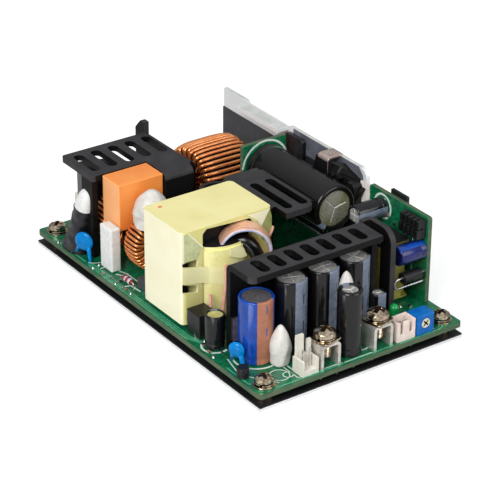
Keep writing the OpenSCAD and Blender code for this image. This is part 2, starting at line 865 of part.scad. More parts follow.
// Wall behind the output capacitors with a slotted roof over them and a slit wing on the right
module front_heatsink() {
    fold_z = sink_z - front_fold_r;
    fold_y = front_y - front_fold_r;
    wing_y0 = front_y - wing_l;
    roof_y0 = front_y - roof_l;
    wing_fold_x = front_x1 - front_fold_r;
    roof_r = 2;
    color("#2c2c2c") {
        along_y(front_y - front_t, front_y) {
            span(front_x0, wing_fold_x, top_z, fold_z);
            span(roof_x1 + 0.8, wing_fold_x, fold_z - 1, sink_z);
        }
        along_x(front_x0, roof_x1) translate([fold_y, fold_z]) fold(front_fold_r, front_t, 1, 1);
        along_z(top_z, sink_z) translate([wing_fold_x, fold_y]) fold(front_fold_r, front_t, 1, 1);
        along_x(front_x, front_x1) difference() {
            union() {
                span(wing_y0, fold_y, top_z, sink_z - wing_r);
                span(wing_y0 + wing_r, fold_y, sink_z - wing_r - 1, sink_z);
                translate([wing_y0 + wing_r, sink_z - wing_r]) intersection() {
                    circle(wing_r);
                    span(-wing_r, 0, -1, wing_r);
                }
            }
            span(wing_slit_y, wing_slit_y + wing_slit_l, top_z + 3, sink_z - 5.5);
        }
        along_z(sink_z - front_t, sink_z) difference() {
            union() {
                span(front_x0 + roof_r, roof_x1, roof_y0, fold_y);
                span(front_x0, roof_x1, roof_y0 + roof_r, fold_y);
                translate([front_x0 + roof_r, roof_y0 + roof_r]) circle(roof_r);
            }
            for (i = [0:roof_slots - 1]) {
                translate([roof_slot_x + i * roof_slot_pitch, (roof_y0 + front_y - front_t) / 2]) {
                    slot(roof_slot_w, roof_l - front_t - 2 * roof_slot_rim);
                }
            }
        }
    }
}

// Synchronous rectifiers on the back of the front heatsink
module output_rectifiers() {
    color("#202020") for (x = output_rectifier_places) {
        translate([x, front_y, 0]) rotate([0, 0, 180]) package(transistor_w, 4.4, 15.4, top_z + 6);
    }
}

// Flat temperature sensor pressed on the front of the wall beside the blue capacitor
module thermal_sensor() {
    color("#202020") translate([front_x0 + 2.5, front_y - front_t, 0]) {
        along_y(-1.3, 0) span(-2.4, 1.2, top_z + 4, top_z + 12);
        for (x = [-1.9, 0.3]) translate([x, -1, top_z]) cube([0.6, 0.5, 4.1]);
    }
}

// Ferrite core: two outer legs under a yoke, seen through the openings of the tape
module transformer_core() {
    t = tape_t + edge;
    color("#1c1c1c") difference() {
        along_z(top_z + 2, top_z + main_h - t) {
            round_span(main_x0 + t, main_x1 - t, main_y0 + core_setback, main_y1 - t, 1);
        }
        translate([bobbin_x - bobbin_d / 2 - edge, main_y0 - 1, 0]) {
            cube([bobbin_d + 2 * edge, main_y1 - main_y0 + 2, bobbin_top + edge]);
        }
    }
}

// Tape round the core, open in front where the winding bulges out
module transformer_tape() {
    z0 = top_z + 2;
    z1 = top_z + main_h;
    hole_x0 = main_x0 + 0.4;
    hole_x1 = window_x0 - 1.8;
    color("khaki") difference() {
        along_z(z0, z1) round_span(main_x0, main_x1, main_y0, main_y1, 1.6);
        along_z(z0 - 1, z1 - tape_t) {
            round_span(main_x0 + tape_t, main_x1 - tape_t, main_y0 + tape_t, main_y1 - tape_t, 1);
        }
        along_y(main_y0 - 1, main_y0 + tape_t + 1) {
            polygon([[window_x0, z0 - 1], [window_x0, z1 - 2.2], [window_x0 + 1.4, z1 - tape_t],
                [window_x1 - 1.8, z1 - 1.7], [window_x1, z1 - 4.2], [window_x1, bobbin_top],
                [bobbin_x + bobbin_chord, bobbin_top], [bobbin_x + bobbin_chord, z0 - 1]]);
            polygon([[hole_x0, z1 - 11.6], [hole_x1, z1 - 13], [hole_x1, z1 - 10], [hole_x0, z1 - 9.9]]);
            polygon([[hole_x0, z1 - 20.4], [hole_x1, z1 - 21.4], [hole_x1, z1 - 19], [hole_x0, z1 - 17.4]]);
        }
    }
}

// Taped winding on the round bobbin, with flanges and pins below
module transformer_winding() {
    flange = 1;
    z0 = top_z + 2;
    tape_h = bobbin_top - z0 - 2 * flange;
    pin_pitch = 3;
    color("moccasin") {
        translate([bobbin_x, bobbin_y, z0]) {
            cylinder(d = bobbin_d - 1, h = flange);
            translate([0, 0, flange]) cylinder(d = bobbin_d, h = tape_h);
            translate([0, 0, flange + tape_h]) cylinder(d = bobbin_d - 1, h = flange);
        }
        for (i = [0:pin_count - 1], s = [-1, 1]) {
            lead(bobbin_x + (i - (pin_count - 1) / 2) * pin_pitch, bobbin_y + s * bobbin_d * 0.3, top_z, z0 + 0.1);
        }
    }
}

// Litz lead, a flat ribbon that arches from the winding's top down to the board
module litz_lead() {
    first = asin((bobbin_top + fit_gap - litz_z + litz_t / 2) / litz_r);
    color("sandybrown") translate([litz_x, litz_y, litz_z]) rotate([0, 0, -litz_turn]) {
        rotate([90, 0, 0]) rotate_extrude(angle = 180 - first) {
            translate([litz_r - litz_t / 2, -litz_w / 2]) square([litz_t, litz_w]);
        }
        translate([litz_r - litz_t / 2, -litz_w / 2, top_z - litz_z]) cube([litz_t, litz_w, litz_z - top_z]);
    }
}

// Pink lead that drops from the winding to the board
module transformer_lead() {
    color("lightpink") {
        lead(bobbin_x - 3.5, main_y0 - bobbin_bulge - 0.8, top_z, bobbin_top - 5.8, 0.6);
    }
}

module rear_choke_core() {
    color("dimgray") translate([rear_x, rear_y, choke_z]) rotate([90, 0, 0]) {
        input_core(rear_depth);
    }
}

module near_choke_core() {
    color("dimgray") translate([near_x, near_y, choke_z]) rotate([90, 0, 0]) {
        input_core(near_depth);
    }
}

// Core of an input choke, just inside its winding
module input_core(depth) {
    slack = choke_wire_d + edge;
    ring_core(choke_d / 2 - slack, choke_bore_r + choke_wire_d / 2 + edge,
        depth / 2 - slack - choke_lift, 0.6);
}

// Two windings of an input choke, facing each other, with their leads going down
module input_winding(depth) {
    gap = 9;
    for (right = [false, true]) {
        a = (right ? 270 : 90) + gap;
        ring_winding(choke_d, depth, choke_wire_d, choke_turns, a, a + 180 - 2 * gap,
            choke_bore_r, choke_lift, top_z - choke_z, right, !right);
    }
}

module rear_choke_winding() {
    color("peru") translate([rear_x, rear_y, choke_z]) rotate([90, 0, 0]) input_winding(rear_depth);
}

module near_choke_winding() {
    color("peru") translate([near_x, near_y, choke_z]) rotate([90, 0, 0]) input_winding(near_depth);
}

module power_choke_core() {
    slack = power_wire_d + edge;
    color("dimgray") translate([power_x, power_y, power_z]) rotate([90, 0, 90]) {
        ring_core(power_d / 2 - slack, power_bore_r + power_wire_d / 2 + edge,
            power_depth / 2 - slack - power_lift, 1);
    }
}

module power_choke_winding() {
    gap = 10;
    color("chocolate") translate([power_x, power_y, power_z]) rotate([90, 0, 90]) {
        ring_winding(power_d, power_depth, power_wire_d, power_turns, gap - 90, 270 - gap,
            power_bore_r, power_lift, top_z - power_z, true, true);
    }
}

// Black seat hollowed to the round of the power choke
module power_choke_seat() {
    w = power_depth - 9;
    l = power_d * 0.62;
    color("#1e1e1e") difference() {
        translate([power_x, power_y, top_z]) linear_extrude(power_seat_t + 2) {
            round_span(-w / 2, w / 2, -l / 2, l / 2, 1.5);
        }
        translate([power_x - w, power_y, power_z]) rotate([0, 90, 0]) {
            cylinder(d = power_d + 2 * fit_gap, h = 2 * w);
        }
    }
}

// Orange box capacitor held over the chokes on its leads
module box_capacitor() {
    color("sandybrown") translate([box_cap_x, box_cap_y, 0]) {
        translate([0, 0, sink_z - box_cap_h]) soft_box(box_cap_w, box_cap_l, box_cap_h, 0.6);
        for (s = [-1, 1]) lead(s * (box_cap_w / 2 - 0.6), 0, top_z, sink_z - box_cap_h + 1, 0.4);
    }
}

module white_capacitor() {
    color("whitesmoke") translate([white_cap_x, white_cap_y, top_z]) {
        soft_box(white_cap_w, white_cap_l, white_cap_h, 0.9);
    }
}

// Shrink sleeve of the fuse, cut level where it stands on the board
module fuse_sleeve() {
    color("#181818") difference() {
        translate([fuse_x, fuse_y, top_z]) rotate([fuse_lean, 0, 0]) {
            along_z(-4, fuse_h) round_span(-fuse_w / 2, fuse_w / 2, -fuse_l / 2, fuse_l / 2, fuse_w / 2 - edge);
        }
        translate([fuse_x, fuse_y, top_z - 10]) cube([20, 40, 20], center = true);
    }
}

// White sealed end of the fuse above its sleeve
module fuse_cap() {
    h = 7;
    color("white") translate([fuse_x, fuse_y, top_z]) rotate([fuse_lean, 0, 0]) translate([0, 0, fuse_h]) {
        intersection() {
            translate([0, 0, -h]) soft_box(fuse_w, fuse_l, 2 * h, fuse_w / 2 - edge);
            along_z(0, h) square(2 * fuse_l, center = true);
        }
    }
}

// Disc on two leads, turned towards the front corner
module disc(p) {
    r = p[2] / 2;
    rim = disc_t / 2 - edge;
    z = top_z + disc_lift + r;
    translate([p[0], p[1], 0]) rotate([0, 0, disc_turn]) {
        translate([0, 0, z]) rotate([0, 90, 0]) rotate_extrude() {
            span(0, r - rim, -disc_t / 2, disc_t / 2);
            intersection() {
                translate([r - rim, 0]) circle(rim);
                span(0, r, -disc_t / 2, disc_t / 2);
            }
        }
        for (s = [-1, 1]) lead(0, s * r * 0.75, top_z, z - r * 0.4);
    }
}

module disc_capacitors() {
    color("steelblue") for (p = disc_places) disc(p);
}

// Bulk capacitor lying along the board, its vent towards low Y
module bulk_capacitor() {
    color("#161616") translate([bulk_x, bulk_y, top_z + bulk_z]) rotate([90, 0, 0]) {
        rotate([0, 0, 30]) can(bulk_d, bulk_l, 3, 1.8);
    }
}

// Upright board that the bulk capacitor is soldered to
module capacitor_board() {
    x0 = bulk_x - cap_board_w / 2 - cap_board_shift;
    color("seagreen") along_y(bulk_y, bulk_y + board_t) difference() {
        round_span(x0, x0 + cap_board_w, top_z, top_z + cap_board_h, 0.8);
        for (s = [-1, 1]) translate([bulk_x + s * 3.75, top_z + bulk_z]) circle(0.8);
    }
}

module blue_capacitor() {
    color("royalblue") translate([blue_cap_x, cap_row_y + 0.5, top_z]) can(blue_cap_d, blue_cap_h);
}

module output_capacitors() {
    pitch = out_cap_d + out_cap_gap;
    color("#181818") for (i = [-1:1]) {
        translate([out_cap_x + i * pitch, cap_row_y, top_z]) can(out_cap_d, out_cap_h);
    }
}

module front_capacitor() {
    color("#181818") translate([front_cap_x, front_cap_y, top_z]) can(front_cap_d, front_cap_h);
}

module small_capacitors() {
    color("#181818") {
        translate([side_cap_x, side_cap_y, top_z]) can(side_cap_d, side_cap_h);
        translate([narrow_cap_x, narrow_cap_y, top_z]) can(narrow_cap_d, narrow_cap_h, 3);
    }
}

module control_board() {
    color("seagreen") along_x(control_x, control_x + control_t) {
        round_span(control_y0, control_y1, top_z, top_z + control_h, 0.8);
    }
}

// Chip and its two rows of legs behind the control board, standing above its edge
module control_chip() {
    l = 8;
    h = 3.4;
    z = top_z + control_h - 1.9;
    color("#1a1a1a") along_x(control_x + control_t, base_w / 2) {
        round_span(chip_y, chip_y + l, z, z + h, 0.3);
        for (i = [0:5]) span(chip_y + 0.6 + i * 1.27, chip_y + 1 + i * 1.27, z - 1, z + h / 2);
    }
}

// Plug block on the control board with a row of pins on top
module control_block() {
    w = 3.7;
    l = 9.3;
    h = 6.1;
    y = control_y0 + 0.9;
    z = top_z + control_h - 7;
    color("#222222") {
        along_x(control_x - w, control_x) round_span(y, y + l, z, z + h, 0.3);
        for (i = [0:3]) translate([control_x - w + 0.8, y + 1 + i * 2.2, z + h]) cube([0.7, 0.7, 0.5]);
    }
}

// Two small capacitors that stick out of the control board
module control_capacitors() {
    color("slateblue") for (p = control_cap_places) {
        translate([control_x, p[0], p[1]]) rotate([0, -90, 0]) can(control_cap_d, p[2]);
    }
}

// Diode with its lead bent back to the control board
module control_diode() {
    body_l = 7;
    reach = 1.6;
    bend_r = 1.6;
    x1 = control_x - reach;
    z = top_z + 11.1;
    y = control_y0 + 1.2;
    color("#2a2a2a") translate([x1, y, z]) rotate([0, -90, 0]) {
        translate([0, 0, -reach]) cylinder(r = lead_r, h = reach + body_l + 1.4);
        cylinder(d = diode_d, h = body_l);
    }
    color("silver") {
        translate([x1 - body_l - 1.4, y, z - bend_r]) rotate([90, 0, 0]) rotate([0, 0, 90]) {
            rotate_extrude(angle = 180) translate([bend_r, 0]) circle(lead_r);
        }
        translate([x1 - body_l - 1.4, y, z - 2 * bend_r]) rotate([0, 90, 0]) {
            cylinder(r = lead_r, h = reach + body_l + 1.4);
        }
    }
}

// Small core with a taped winding between two flanges
module taped_coil(w, l, h, tape_name, core_name) {
    cheek = 1.2;
    color(core_name) {
        for (z = [0.6, h - cheek]) translate([0, 0, z]) soft_box(w, l, cheek, 0.3);
        translate([0, 0, 0.6]) soft_box(w * 0.5, l, h - 0.6, 0.3);
    }
    color(tape_name) translate([0, 0, 0.6 + cheek - edge]) {
        soft_box(w - 0.8, l - 1.6, h - 0.6 - 2 * cheek + 2 * edge, 1);
    }
    for (s = [-1, 1], t = [-1, 0, 1]) lead(s * (w / 2 - 1.5), t * l / 3, 0, 1, 0.4);
}

module auxiliary_transformer() {
    translate([auxiliary_x, auxiliary_y, top_z]) {
        taped_coil(auxiliary_w, auxiliary_l, auxiliary_h, "khaki", "#1c1c1c");
    }
}

module drive_transformer() {
    translate([drive_x, drive_y, top_z]) taped_coil(drive_w, drive_w, drive_h, "khaki", "#1c1c1c");
}

// Black block of two isolators at the left edge
module coupler() {
    color("#1c1c1c") translate([coupler_x, coupler_y, top_z]) {
        translate([0, 0, 0.4]) soft_box(6.4, 6.8, 7.9, 0.4);
        for (s = [-1, 1], t = [-1, 0, 1]) translate([s * 2.8 - 0.25, t * 2.2 - 0.4, 0]) cube([0.5, 0.8, 1]);
    }
}

// Shrouded mains header with two pins, open on top
module input_connector() {
    w = 14;
    l = 7.4;
    h = 10;
    pin_w = 1;
    pin_pitch = 3.96;
    color("ivory") translate([input_x, input_y, top_z]) {
        difference() {
            translate([-w / 2, -l / 2, 0]) cube([w, l, h]);
            translate([1 - w / 2, 1 - l / 2, 1.6]) cube([w - 2, l - 2, h]);
            translate([-w / 4, l / 2 - 1.5, 4]) cube([w / 2, 3, h]);
        }
    }
    color("silver") translate([input_x, input_y, top_z]) {
        for (s = [-1, 1]) translate([s * pin_pitch - pin_w / 2, -pin_w / 2, 1.6]) cube([pin_w, pin_w, h - 2.6]);
    }
}

// Two-pin fan header with tall rear tabs
module fan_connector() {
    l = 5;
    color("ivory") translate([fan_x - fan_w / 2, fan_y - l / 2, top_z]) {
        difference() {
            cube([fan_w, l, 5]);
            translate([0.8, -1, 1.6]) cube([fan_w - 1.6, l, 5]);
        }
        translate([0.7, l - 1, 0]) cube([2.6, 1, fan_tab_h]);
        translate([4.6, l - 1, 0]) cube([fan_w - 4.6, 1, fan_tab_h - 2.3]);
    }
    color("silver") translate([fan_x, fan_y - 0.6, top_z]) {
        for (s = [-1, 1]) translate([s * 1.25 - 0.3, 0, 1.6]) cube([0.6, 0.6, 6]);
    }
}

// Four-pin signal header with a notched front wall
module signal_connector() {
    l = 5;
    color("bisque") translate([signal_x - signal_w / 2, signal_y - l / 2, top_z]) {
        difference() {
            cube([signal_w, l, signal_h]);
            translate([0.7, 0.8, 1.6]) cube([signal_w - 1.4, l - 1.6, signal_h]);
            for (s = [0.25, 0.75]) translate([s * signal_w - 0.6, -1, 2.4]) cube([1.2, 3, signal_h]);
        }
    }
    color("silver") translate([signal_x, signal_y, top_z]) {
        for (i = [-1.5, -0.5, 0.5, 1.5]) translate([i * 1.25 - 0.25, -0.25, 1.6]) cube([0.5, 0.5, 4]);
    }
}

// Folded sheet brackets that carry the output screws
module terminal_brackets() {
    r = 1.6;
    color("silver") for (x = terminal_places) translate([x, terminal_y, 0]) difference() {
        along_y(-terminal_l / 2, terminal_l / 2) {
            span(r - terminal_w / 2, terminal_w / 2 - r, terminal_z - terminal_t, terminal_z);
            for (s = [-1, 1]) {
                translate([s * (terminal_w / 2 - r), terminal_z - r]) fold(r, terminal_t, s, 1);
                translate([s * (terminal_w - terminal_t) / 2 - terminal_t / 2, top_z]) {
                    square([terminal_t, terminal_h - r]);
                }
            }
        }
        translate([0, 0, terminal_z - 3]) cylinder(d = terminal_screw_d, h = 5);
    }
}

// Square washer and spring washer under each output screw
module terminal_washers() {
    bore = terminal_screw_d + 0.3;
    color("silver") for (x = terminal_places) translate([x, terminal_y, terminal_z]) {
        rotate([0, 0, 14]) linear_extrude(terminal_washer_t) difference() {
            round_span(-terminal_w / 2, terminal_w / 2, -terminal_w / 2, terminal_w / 2, 0.5);
            circle(d = bore);
        }
        translate([0, 0, terminal_washer_t]) {
            rotate([0, 0, 200]) split_ring(terminal_head_d - 0.4, bore, spring_washer_t);
        }
    }
}

module terminal_screws() {
    seat = terminal_z + terminal_washer_t + spring_washer_t;
    below = 5.2;
    color("lightgray") for (x = terminal_places) translate([x, terminal_y, 0]) {
        translate([0, 0, terminal_z - below]) cylinder(d = terminal_screw_d, h = seat - terminal_z + below);
        translate([0, 0, seat]) rotate([0, 0, 30]) pan_head(terminal_head_d, 2.6);
    }
}

// Trimmer body with a round pocket for its rotor
module trimmer_body() {
    color("dodgerblue") difference() {
        translate([trimmer_x, trimmer_y, top_z]) soft_box(trimmer_w, trimmer_l, trimmer_h, 0.4);
        translate([trimmer_x, trimmer_y - trimmer_l / 2 - 1, rotor_z]) rotate([-90, 0, 0]) {
            cylinder(d = rotor_d + 2 * rotor_gap, h = rotor_l + 1);
        }
    }
}

// Slotted rotor that sets the output voltage
module trimmer_rotor() {
    slot_w = 0.5;
    slot_depth = 0.8;
    color("linen") translate([trimmer_x, trimmer_y - trimmer_l / 2, rotor_z]) rotate([-90, 0, 0]) difference() {
        cylinder(d = rotor_d, h = rotor_l - rotor_gap);
        for (a = [45, 135]) rotate([0, 0, a]) {
            translate([-rotor_d * 0.4, -slot_w / 2, -1]) cube([rotor_d * 0.8, slot_w, 1 + slot_depth]);
        }
    }
}

// Round-ended lamp with a collar and two leads
module green_lamp() {
    r = led_d / 2;
    foot = 1.8;
    color("mediumseagreen") translate([led_x, led_y, top_z]) {
        rotate_extrude() {
            span(0, r, foot, led_h - r);
            span(0, r + 0.3, foot, foot + 0.8);
            intersection() {
                translate([0, led_h - r]) circle(r);
                span(0, r, foot, led_h);
            }
        }
        for (s = [-1, 1]) lead(s * 0.7, 0, 0, foot + 0.1, 0.25);
    }
}

// Rounded blob of silicone, taller than wide
module blob(r, h) {
    points = [for (i = [0:12]) let (a = i * 7.5) [r * cos(a), h * 0.35 + h * 0.65 * sin(a)]];
    rotate_extrude($fn = 32) polygon(concat([[0, 0], [r * 0.85, 0]], points));
}

module glue_blobs() {
    color("white") {
        translate([glue_x, glue_y, top_z]) blob(3.1, 13.2);
        translate([out_cap_x + (out_cap_d + out_cap_gap) / 2, cap_row_y - 5, top_z]) blob(2.4, 21.6);
        difference() {
            translate([near_x - 1, near_y - 0.9, choke_z + choke_d / 2 - 3]) blob(6, 12);
            translate([near_x, near_y + 12, choke_z]) rotate([90, 0, 0]) {
                cylinder(d = choke_d + 2 * fit_gap, h = 24);
            }
        }
    }
}

// Relay under the left heatsink, sleeved choke behind the middle one, small coil and diode at the left
module small_parts() {
    rim = 0.8;
    color("#1c1c1c") {
        translate([relay_place[0], relay_place[1], top_z]) rotate([0, 0, -18]) {
            soft_box(relay_size[0], relay_size[1], relay_size[2], 0.5);
        }
        translate([drum_place[0], drum_place[1], top_z]) difference() {
            cylinder(d = drum_d, h = drum_h);
            translate([0, 0, drum_h - 0.5]) cylinder(d = drum_d - 2 * rim, h = 1);
        }
        translate([coil_place[0], coil_place[1], top_z]) {
            cylinder(d = coil_d - 2 * edge, h = 3.6);
            for (z = [0, 3.6]) translate([0, 0, z]) cylinder(d = coil_d, h = rim);
        }
    }
    color("firebrick") translate([diode_x, diode_y, top_z + 1]) rotate([-90, 0, 0]) {
        cylinder(d = 2, h = 4.6);
        translate([0, 0, -1.5]) cylinder(r = lead_r, h = 7.6);
    }
    color("firebrick") for (y = [-1.3, 5.9]) lead(diode_x, diode_y + y, top_z, top_z + 1.2);
}

base_plate();
insulation_sheet();
board_spacers();
main_board();
corner_washers();
corner_screws();
aluminium_wall();
wall_insulator();
rectifier();
wall_transistors();
spring_clip();
clip_insulator();
left_heatsink();
bridge_rectifier();
middle_heatsink();
front_heatsink();
output_rectifiers();
thermal_sensor();
transformer_core();
transformer_tape();
transformer_winding();
litz_lead();
transformer_lead();
rear_choke_core();
rear_choke_winding();
near_choke_core();
near_choke_winding();
power_choke_core();
power_choke_winding();
power_choke_seat();
box_capacitor();
white_capacitor();
fuse_sleeve();
fuse_cap();
disc_capacitors();
bulk_capacitor();
capacitor_board();
blue_capacitor();
output_capacitors();
front_capacitor();
small_capacitors();
control_board();
control_chip();
control_block();
control_capacitors();
control_diode();
auxiliary_transformer();
drive_transformer();
coupler();
input_connector();
fan_connector();
signal_connector();
terminal_brackets();
terminal_washers();
terminal_screws();
trimmer_body();
trimmer_rotor();
green_lamp();
glue_blobs();
small_parts();
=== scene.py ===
import math

import bmesh
import bpy
import numpy as np
from mathutils import Matrix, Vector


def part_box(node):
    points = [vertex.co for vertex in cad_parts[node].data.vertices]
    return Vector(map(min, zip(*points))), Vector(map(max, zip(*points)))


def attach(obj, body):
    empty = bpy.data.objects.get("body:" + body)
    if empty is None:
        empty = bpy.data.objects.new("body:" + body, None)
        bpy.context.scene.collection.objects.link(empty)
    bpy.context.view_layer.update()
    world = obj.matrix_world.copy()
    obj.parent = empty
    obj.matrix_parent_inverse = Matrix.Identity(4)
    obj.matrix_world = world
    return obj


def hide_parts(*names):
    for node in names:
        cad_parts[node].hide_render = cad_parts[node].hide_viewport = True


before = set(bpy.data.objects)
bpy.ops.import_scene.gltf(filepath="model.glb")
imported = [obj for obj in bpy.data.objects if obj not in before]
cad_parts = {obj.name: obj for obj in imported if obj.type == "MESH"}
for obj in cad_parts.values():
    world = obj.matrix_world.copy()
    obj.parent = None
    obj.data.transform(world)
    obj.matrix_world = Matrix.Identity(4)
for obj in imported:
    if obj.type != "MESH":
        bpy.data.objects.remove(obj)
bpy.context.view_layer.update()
MM = 0.001

# Base plate: rolled aluminium with a clear satin finish, cut to the outline of the board.
# Its four corner holes take the screws that hold the supply in a case.


def tint(red, green, blue):
    """Linear colour of a finish that looks like this on a screen, each part from 0 to 255."""
    part = np.array([red, green, blue]) / 255
    linear = np.where(part < 0.04045, part / 12.92, ((part + 0.055) / 1.055) ** 2.4)
    return (*linear.tolist(), 1.0)


def feed(node, sockets):
    """Gives sockets of a shader node a number or colour, or the output that feeds them."""
    for key, value in sockets.items():
        if isinstance(value, bpy.types.NodeSocket):
            node.id_data.links.new(value, node.inputs[key])
        else:
            node.inputs[key].default_value = value
    return node


def add_node(tree, kind, sockets, **settings):
    """Adds one shader node and feeds its sockets."""
    made = tree.nodes.new("ShaderNode" + kind)
    for key, value in settings.items():
        setattr(made, key, value)
    return feed(made, sockets)


def finish(name, light, dark, patch, rough, vary=0.1, grain=0.25, relief=0.004,
           metal=0.0, coat=0.0, shine=0.5, stretch=(1, 1, 1)):
    """Finish of a surface, sizes in mm. A slow noise, patch across, mixes the light and the dark colour.
    A fine noise, grain across, raises the skin by relief and moves the roughness by vary."""
    made = bpy.data.materials.new(name)
    made.use_nodes = True
    tree = made.node_tree
    place = add_node(tree, "TexCoord", {})
    spread = add_node(tree, "Mapping", {0: place.outputs["Object"], "Scale": stretch})
    slow = add_node(tree, "TexNoise", {"Vector": spread.outputs[0], "Scale": 1000 / patch, "Detail": 4.0})
    fine = add_node(tree, "TexNoise", {"Vector": spread.outputs[0], "Scale": 1000 / grain, "Detail": 2.0})
    steep = add_node(tree, "MapRange", {0: slow.outputs["Fac"], 1: 0.3, 2: 0.7})
    colour = add_node(tree, "Mix", {0: steep.outputs[0], 6: tint(*light), 7: tint(*dark)}, data_type="RGBA")
    dull = add_node(tree, "MapRange", {0: fine.outputs["Fac"], 1: 0.3, 2: 0.7, 3: rough - vary, 4: rough + vary})
    bump = add_node(tree, "Bump", {"Height": fine.outputs["Fac"], "Distance": relief * MM})
    feed(tree.nodes["Principled BSDF"], {
        "Metallic": metal, "Coat Weight": coat, "Coat Roughness": 0.08, "Specular IOR Level": shine,
        "Base Color": colour.outputs[2], "Roughness": dull.outputs[0], "Normal": bump.outputs[0]})
    return made


def enter(name, mesh, nodes, body, smooth, edge, harden=False):
    """Puts a mesh in the scene, smooth but for edges sharper than smooth degrees, which a bevel eases by
    edge mm. It rides on a body and takes the place of some CAD nodes."""
    mesh.shade_smooth()
    if not harden:
        mesh.set_sharp_from_angle(angle=math.radians(smooth))
    piece = bpy.data.objects.new(name, mesh)
    bpy.context.scene.collection.objects.link(piece)
    if edge:
        bevel = piece.modifiers.new("eased_edges", "BEVEL")
        bevel.width, bevel.segments, bevel.limit_method = edge * MM, 2, "ANGLE"
        bevel.angle_limit, bevel.harden_normals = math.radians(smooth), harden
    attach(piece, body)
    if nodes:
        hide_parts(*nodes)


def dressed(node, finishes, edge=0.12, pick=None, body="supply"):
    """Copy of a CAD node with its doubles merged and its sharp edges eased by edge mm. pick takes the rows
    X, Y and Z of all faces' middles (mm) and of their normals, and their areas (mm2), and gives each
    face's place in finishes."""
    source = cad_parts[node].data
    loose = np.zeros(len(source.vertices) * 3)
    source.vertices.foreach_get("co", loose)
    corners = np.zeros(len(source.loops), int)
    source.loops.foreach_get("vertex_index", corners)
    points, first = np.unique(np.round(loose.reshape(-1, 3), 7), axis=0, return_inverse=True)
    mesh = bpy.data.meshes.new(node + "_skin")
    mesh.from_pydata(points.tolist(), [], first.ravel()[corners].reshape(-1, 3).tolist())
    shape = bmesh.new()
    shape.from_mesh(mesh)
    bmesh.ops.dissolve_limit(shape, angle_limit=math.radians(1), verts=shape.verts, edges=shape.edges)
    shape.to_mesh(mesh)
    shape.free()
    for each in finishes:
        mesh.materials.append(each)
    if pick:
        faces = mesh.polygons
        middle, normal, area = (np.zeros(len(faces) * wide) for wide in (3, 3, 1))
        for key, values in (("center", middle), ("normal", normal), ("area", area)):
            faces.foreach_get(key, values)
        choice = pick(middle.reshape(-1, 3).T / MM, normal.reshape(-1, 3).T, area / MM ** 2)
        faces.foreach_set("material_index", np.asarray(choice, np.int32))
    enter(node + "_piece", mesh, [node], body, 32, edge, harden=edge > 0)


bright_sheet = finish("bright_sheet", (246, 246, 247), (232, 233, 235), 12, 0.5, vary=0.08,
                      grain=0.5, relief=0.003, metal=0.2, stretch=(1, 0.15, 1))
dressed("base_plate", [bright_sheet], edge=0.15)

# Insulation sheet: black film that keeps the solder side of the board off the base plate.
# It is cut with the plate and lies flat under the spacers.
black_film = finish("black_film", (30, 29, 31), (20, 19, 21), 9, 0.5, grain=0.6, shine=0.3)
dressed("insulation_sheet", [black_film], edge=0.08)

# Corner hardware: plated steel spacers, a flat and a split washer and a cross-recessed screw at each
# corner. The screws clamp the board to the base plate.


def box_mm(node):
    """Low and high corner of a CAD node's box, in mm."""
    return np.array(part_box(node)) / MM


def middle_of(node):
    """Middle and size of a CAD node's box, in mm."""
    low, high = box_mm(node)
    return (low + high) / 2, high - low


def fan(here, after, tip):
    """Triangles that join each point of a ring and the next one to the point tip."""
    return np.stack([here, after, np.full(len(here), tip)], -1).tolist()


def grid(points, finish_at=0, closed=True):
    """Quads between the rows of a grid of points, each row a ring. closed ends the first and the last row
    in a fan round their middle. finish_at is one number, or an array that spreads over all quads."""
    rows, columns = points.shape[:2]
    i, j = np.meshgrid(np.arange(rows - 1), np.arange(columns), indexing="ij")
    here, right = i * columns + j, i * columns + (j + 1) % columns
    faces = np.stack([here, right, right + columns, here + columns], -1).reshape(-1, 4).tolist()
    marks = np.broadcast_to(finish_at, (rows - 1, columns)).ravel().tolist()
    flat = points.reshape(-1, 3)
    if closed:
        flat = np.concatenate([flat, points[0].mean(0)[None], points[-1].mean(0)[None]])
        k, top = np.arange(columns), (rows - 1) * columns
        after = (k + 1) % columns
        faces += fan(after, k, rows * columns) + fan(top + k, top + after, rows * columns + 1)
        marks += [marks[0]] * columns + [marks[-1]] * columns
    return flat, faces, marks


def assemble(name, parts, finishes, replaced=(), smooth=40, edge=0.0):
    """One piece of several surfaces, each with its points in mm, its faces and their finish numbers.
    edge eases the sharp edges by that many mm."""
    start = np.cumsum([0] + [len(p[0]) for p in parts])
    faces = [[k + int(s) for k in f] for s, p in zip(start, parts) for f in p[1]]
    mesh = bpy.data.meshes.new(name)
    mesh.from_pydata((np.concatenate([p[0] for p in parts]) * MM).tolist(), [], faces)
    for each in finishes:
        mesh.materials.append(each)
    mesh.polygons.foreach_set("material_index", np.array([m for p in parts for m in p[2]], np.int32))
    shape = bmesh.new()
    shape.from_mesh(mesh)
    bmesh.ops.remove_doubles(shape, verts=shape.verts, dist=1e-7)
    bmesh.ops.recalc_face_normals(shape, faces=shape.faces)
    shape.to_mesh(mesh)
    shape.free()
    enter(name, mesh, replaced, "supply", smooth, edge)


def polar(radius, angle, height):
    """Points at a radius, an angle and a height round the Z axis."""
    radius, angle, height = np.broadcast_arrays(radius, angle, height)
    return np.stack([radius * np.cos(angle), radius * np.sin(angle), height], -1)


